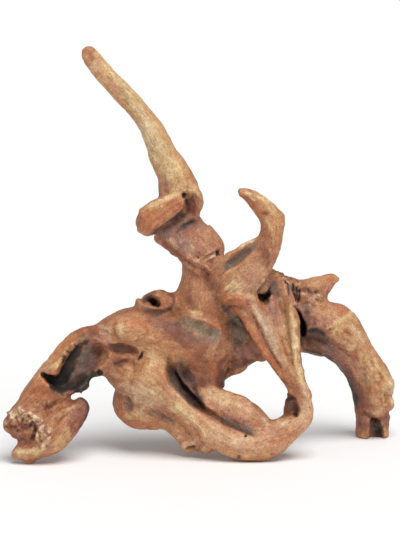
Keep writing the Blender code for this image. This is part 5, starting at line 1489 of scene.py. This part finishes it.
def put(target, value):
    """Links a socket to another one, or sets its value."""
    if hasattr(value, "is_linked"):
        tree.links.new(value, target)
    else:
        target.default_value = value


def attribute(name, output):
    """Values that were written on the skin's points."""
    return node("ShaderNodeAttribute", attribute_name=name).outputs[output]


def sums(operation, *values):
    """A sum of numbers or sockets."""
    made = node("ShaderNodeMath", operation=operation)
    for socket, value in zip(made.inputs, values):
        put(socket, value)
    return made.outputs[0]


def stretched(vector, scale, offset=(0, 0, 0)):
    """A place drawn out by a scale and moved by an offset, before noise is read there."""
    made = node("ShaderNodeMapping")
    put(made.inputs["Vector"], vector)
    made.inputs["Scale"].default_value = scale
    made.inputs["Location"].default_value = offset
    return made.outputs[0]


def speckle(vector, size, detail, rough=0.5, twist=0.0):
    """Noise from 0 to 1 with waves of the given size in mm."""
    made = node("ShaderNodeTexNoise")
    put(made.inputs["Vector"], vector)
    made.inputs["Scale"].default_value = 1000 / size
    made.inputs["Detail"].default_value = detail
    made.inputs["Roughness"].default_value = rough
    made.inputs["Distortion"].default_value = twist
    return made.outputs["Fac"]


def ramped(value, low, high, bottom=0.0, top=1.0):
    """A soft ramp from bottom to top as the value goes from low to high."""
    made = node("ShaderNodeMapRange", interpolation_type="SMOOTHSTEP")
    put(made.inputs["Value"], value)
    for name, number in (("From Min", low), ("From Max", high), ("To Min", bottom), ("To Max", top)):
        made.inputs[name].default_value = number
    return made.outputs[0]


def mixed(share, under, over):
    """The colour under, with a share of one colour over it."""
    made = node("ShaderNodeMix", data_type="RGBA")
    put(made.inputs[0], share)
    put(made.inputs[6], under)
    put(made.inputs[7], (*over, 1.0))
    return made.outputs[2]


def tinted(under, share, low, high):
    """The colour times one tint where share is 0 and times another where it is 1."""
    tint = node("ShaderNodeMix", data_type="VECTOR")
    put(tint.inputs[0], share)
    tint.inputs[4].default_value = low
    tint.inputs[5].default_value = high
    times = node("ShaderNodeVectorMath", operation="MULTIPLY")
    put(times.inputs[0], under)
    put(times.inputs[1], tint.outputs[1])
    return times.outputs[0]


here = node("ShaderNodeTexCoord").outputs["Object"]
fibre = attribute("grain", "Vector")
hollow_here = attribute("hollow", "Fac")
open_here = attribute("openness", "Fac")
torn_here = attribute("torn", "Fac")
colour = attribute("stain_and_shade", "Color")

streaks = speckle(stretched(fibre, (1, 1, 0.12)), 3.4, 3, 0.55, 0.5)
threads = speckle(stretched(fibre, (1, 1, 0.07), (3, 1, 2)), 1.5, 2, 0.6, 0.3)
thread_places = speckle(stretched(here, (1, 1, 1), (5, 2, 7)), 12, 2)
blotches = speckle(here, 15, 3, 0.55, 0.3)
mottles = speckle(stretched(here, (1, 1, 1), (2, 8, 3)), 5.5, 3, 0.6, 0.4)
flecks = speckle(here, 1.7, 3, 0.7, 0.2)
frays = speckle(stretched(fibre, (1, 1, 0.35), (7, 3, 5)), 3.2, 3, 0.6, 1.4)
pores = speckle(stretched(fibre, (1, 1, 0.25), (1, 5, 4)), 1.1, 1)
threads_here = sums("MULTIPLY", ramped(threads, 0.52, 0.68), ramped(thread_places, 0.42, 0.62))

colour = tinted(colour, ramped(streaks, 0.28, 0.72), (0.88, 0.83, 0.80), (1.08, 1.10, 1.11))
colour = tinted(colour, ramped(blotches, 0.34, 0.68), (1.05, 1.09, 1.10), (0.94, 0.87, 0.83))
colour = tinted(colour, ramped(mottles, 0.32, 0.68), (0.90, 0.85, 0.82), (1.08, 1.11, 1.12))
colour = tinted(colour, ramped(flecks, 0.35, 0.67), (0.81, 0.77, 0.74), (1.12, 1.18, 1.21))
colour = tinted(colour, threads_here, PLAIN, (0.74, 0.65, 0.60))
colour = tinted(colour, sums("MULTIPLY", torn_here, ramped(frays, 0.53, 0.66)), PLAIN, (1.30, 1.45, 1.50))
colour = tinted(colour, sums("MULTIPLY", torn_here, ramped(frays, 0.45, 0.34)), PLAIN, (0.42, 0.32, 0.28))
# Crests are lightened as a painted highlight, and dips darkened as painted shade.
colour = tinted(colour, ramped(hollow_here, 0.44, 0.20), PLAIN, (1.20, 1.28, 1.32))
colour = tinted(colour, ramped(hollow_here, 0.54, 0.85), PLAIN, (0.52, 0.43, 0.40))
# Sheltered places are darkened as painted shade.
colour = tinted(colour, ramped(open_here, 0.60, 0.15), PLAIN, (0.42, 0.36, 0.36))
colour = mixed(ramped(pores, 0.67, 0.75, 0, 0.5), colour, PORE)
put(shader.inputs["Base Color"], colour)

rough = sums("ADD", ramped(streaks, 0.3, 0.7, 0.50, 0.62), ramped(hollow_here, 0.5, 0.9, 0, 0.2))
put(shader.inputs["Roughness"], rough)
shader.inputs["Specular IOR Level"].default_value = SILK
height = sums("SUBTRACT", sums("MULTIPLY", streaks, 0.6), sums("MULTIPLY", threads_here, 0.4))
height = sums("ADD", height, sums("MULTIPLY", mottles, 0.6))
height = sums("ADD", height, sums("MULTIPLY", flecks, 0.5))
height = sums("SUBTRACT", height, ramped(pores, 0.66, 0.74, 0, 0.5))
bump = node("ShaderNodeBump")
bump.inputs["Strength"].default_value = BUMP_STRENGTH
bump.inputs["Distance"].default_value = BUMP_HEIGHT
put(bump.inputs["Height"], height)
put(shader.inputs["Normal"], bump.outputs[0])

wood.data.materials.clear()
wood.data.materials.append(finish)
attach(wood, "root")
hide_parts("driftwood")


# ---- The floor, the light and the camera ----
# A plain white floor, one broad soft lamp overhead and an even white room.

FLOOR_HALF = 6
PAPER = (0.95, 0.95, 0.95, 1)
PAPER_ROUGHNESS = 0.9
ROOM = (1, 1, 1, 1)
ROOM_STRENGTH = 0.38
LAMP_FROM = (0.35, -0.75, 1.6)
LAMP_SPREAD = math.radians(40)
LAMP_STRENGTH = 2.5
SENSOR = 36
SHEET_HEIGHT = 0.533

bm = bmesh.new()
bmesh.ops.create_grid(bm, x_segments=1, y_segments=1, size=FLOOR_HALF)
floor_mesh = bpy.data.meshes.new("floor")
bm.to_mesh(floor_mesh)
bm.free()
floor = bpy.data.objects.new("floor", floor_mesh)
bpy.context.scene.collection.objects.link(floor)
paper = bpy.data.materials.new("white_paper")
paper.use_nodes = True
paper_face = paper.node_tree.nodes["Principled BSDF"]
paper_face.inputs["Base Color"].default_value = PAPER
paper_face.inputs["Roughness"].default_value = PAPER_ROUGHNESS
floor_mesh.materials.append(paper)

room = bpy.data.worlds.new("room")
room.use_nodes = True
room_light = room.node_tree.nodes["Background"]
room_light.inputs["Color"].default_value = ROOM
room_light.inputs["Strength"].default_value = ROOM_STRENGTH
bpy.context.scene.world = room

lamp_data = bpy.data.lights.new("overhead", "SUN")
lamp_data.angle = LAMP_SPREAD
lamp_data.energy = LAMP_STRENGTH
lamp = bpy.data.objects.new("overhead", lamp_data)
lamp.rotation_mode = "QUATERNION"
lamp.rotation_quaternion = Vector(LAMP_FROM).to_track_quat("Z", "Y")
bpy.context.scene.collection.objects.link(lamp)

camera_data = bpy.data.cameras.new("camera")
camera_data.sensor_width = SENSOR
camera_data.lens = SENSOR * EYE_DISTANCE / SHEET_HEIGHT
camera = bpy.data.objects.new("camera", camera_data)
camera.location = EYE
camera.rotation_mode = "QUATERNION"
camera.rotation_quaternion = AWAY.to_track_quat("-Z", "Y")
bpy.context.scene.collection.objects.link(camera)
bpy.context.scene.camera = camera
bpy.context.scene.view_settings.view_transform = "Standard"
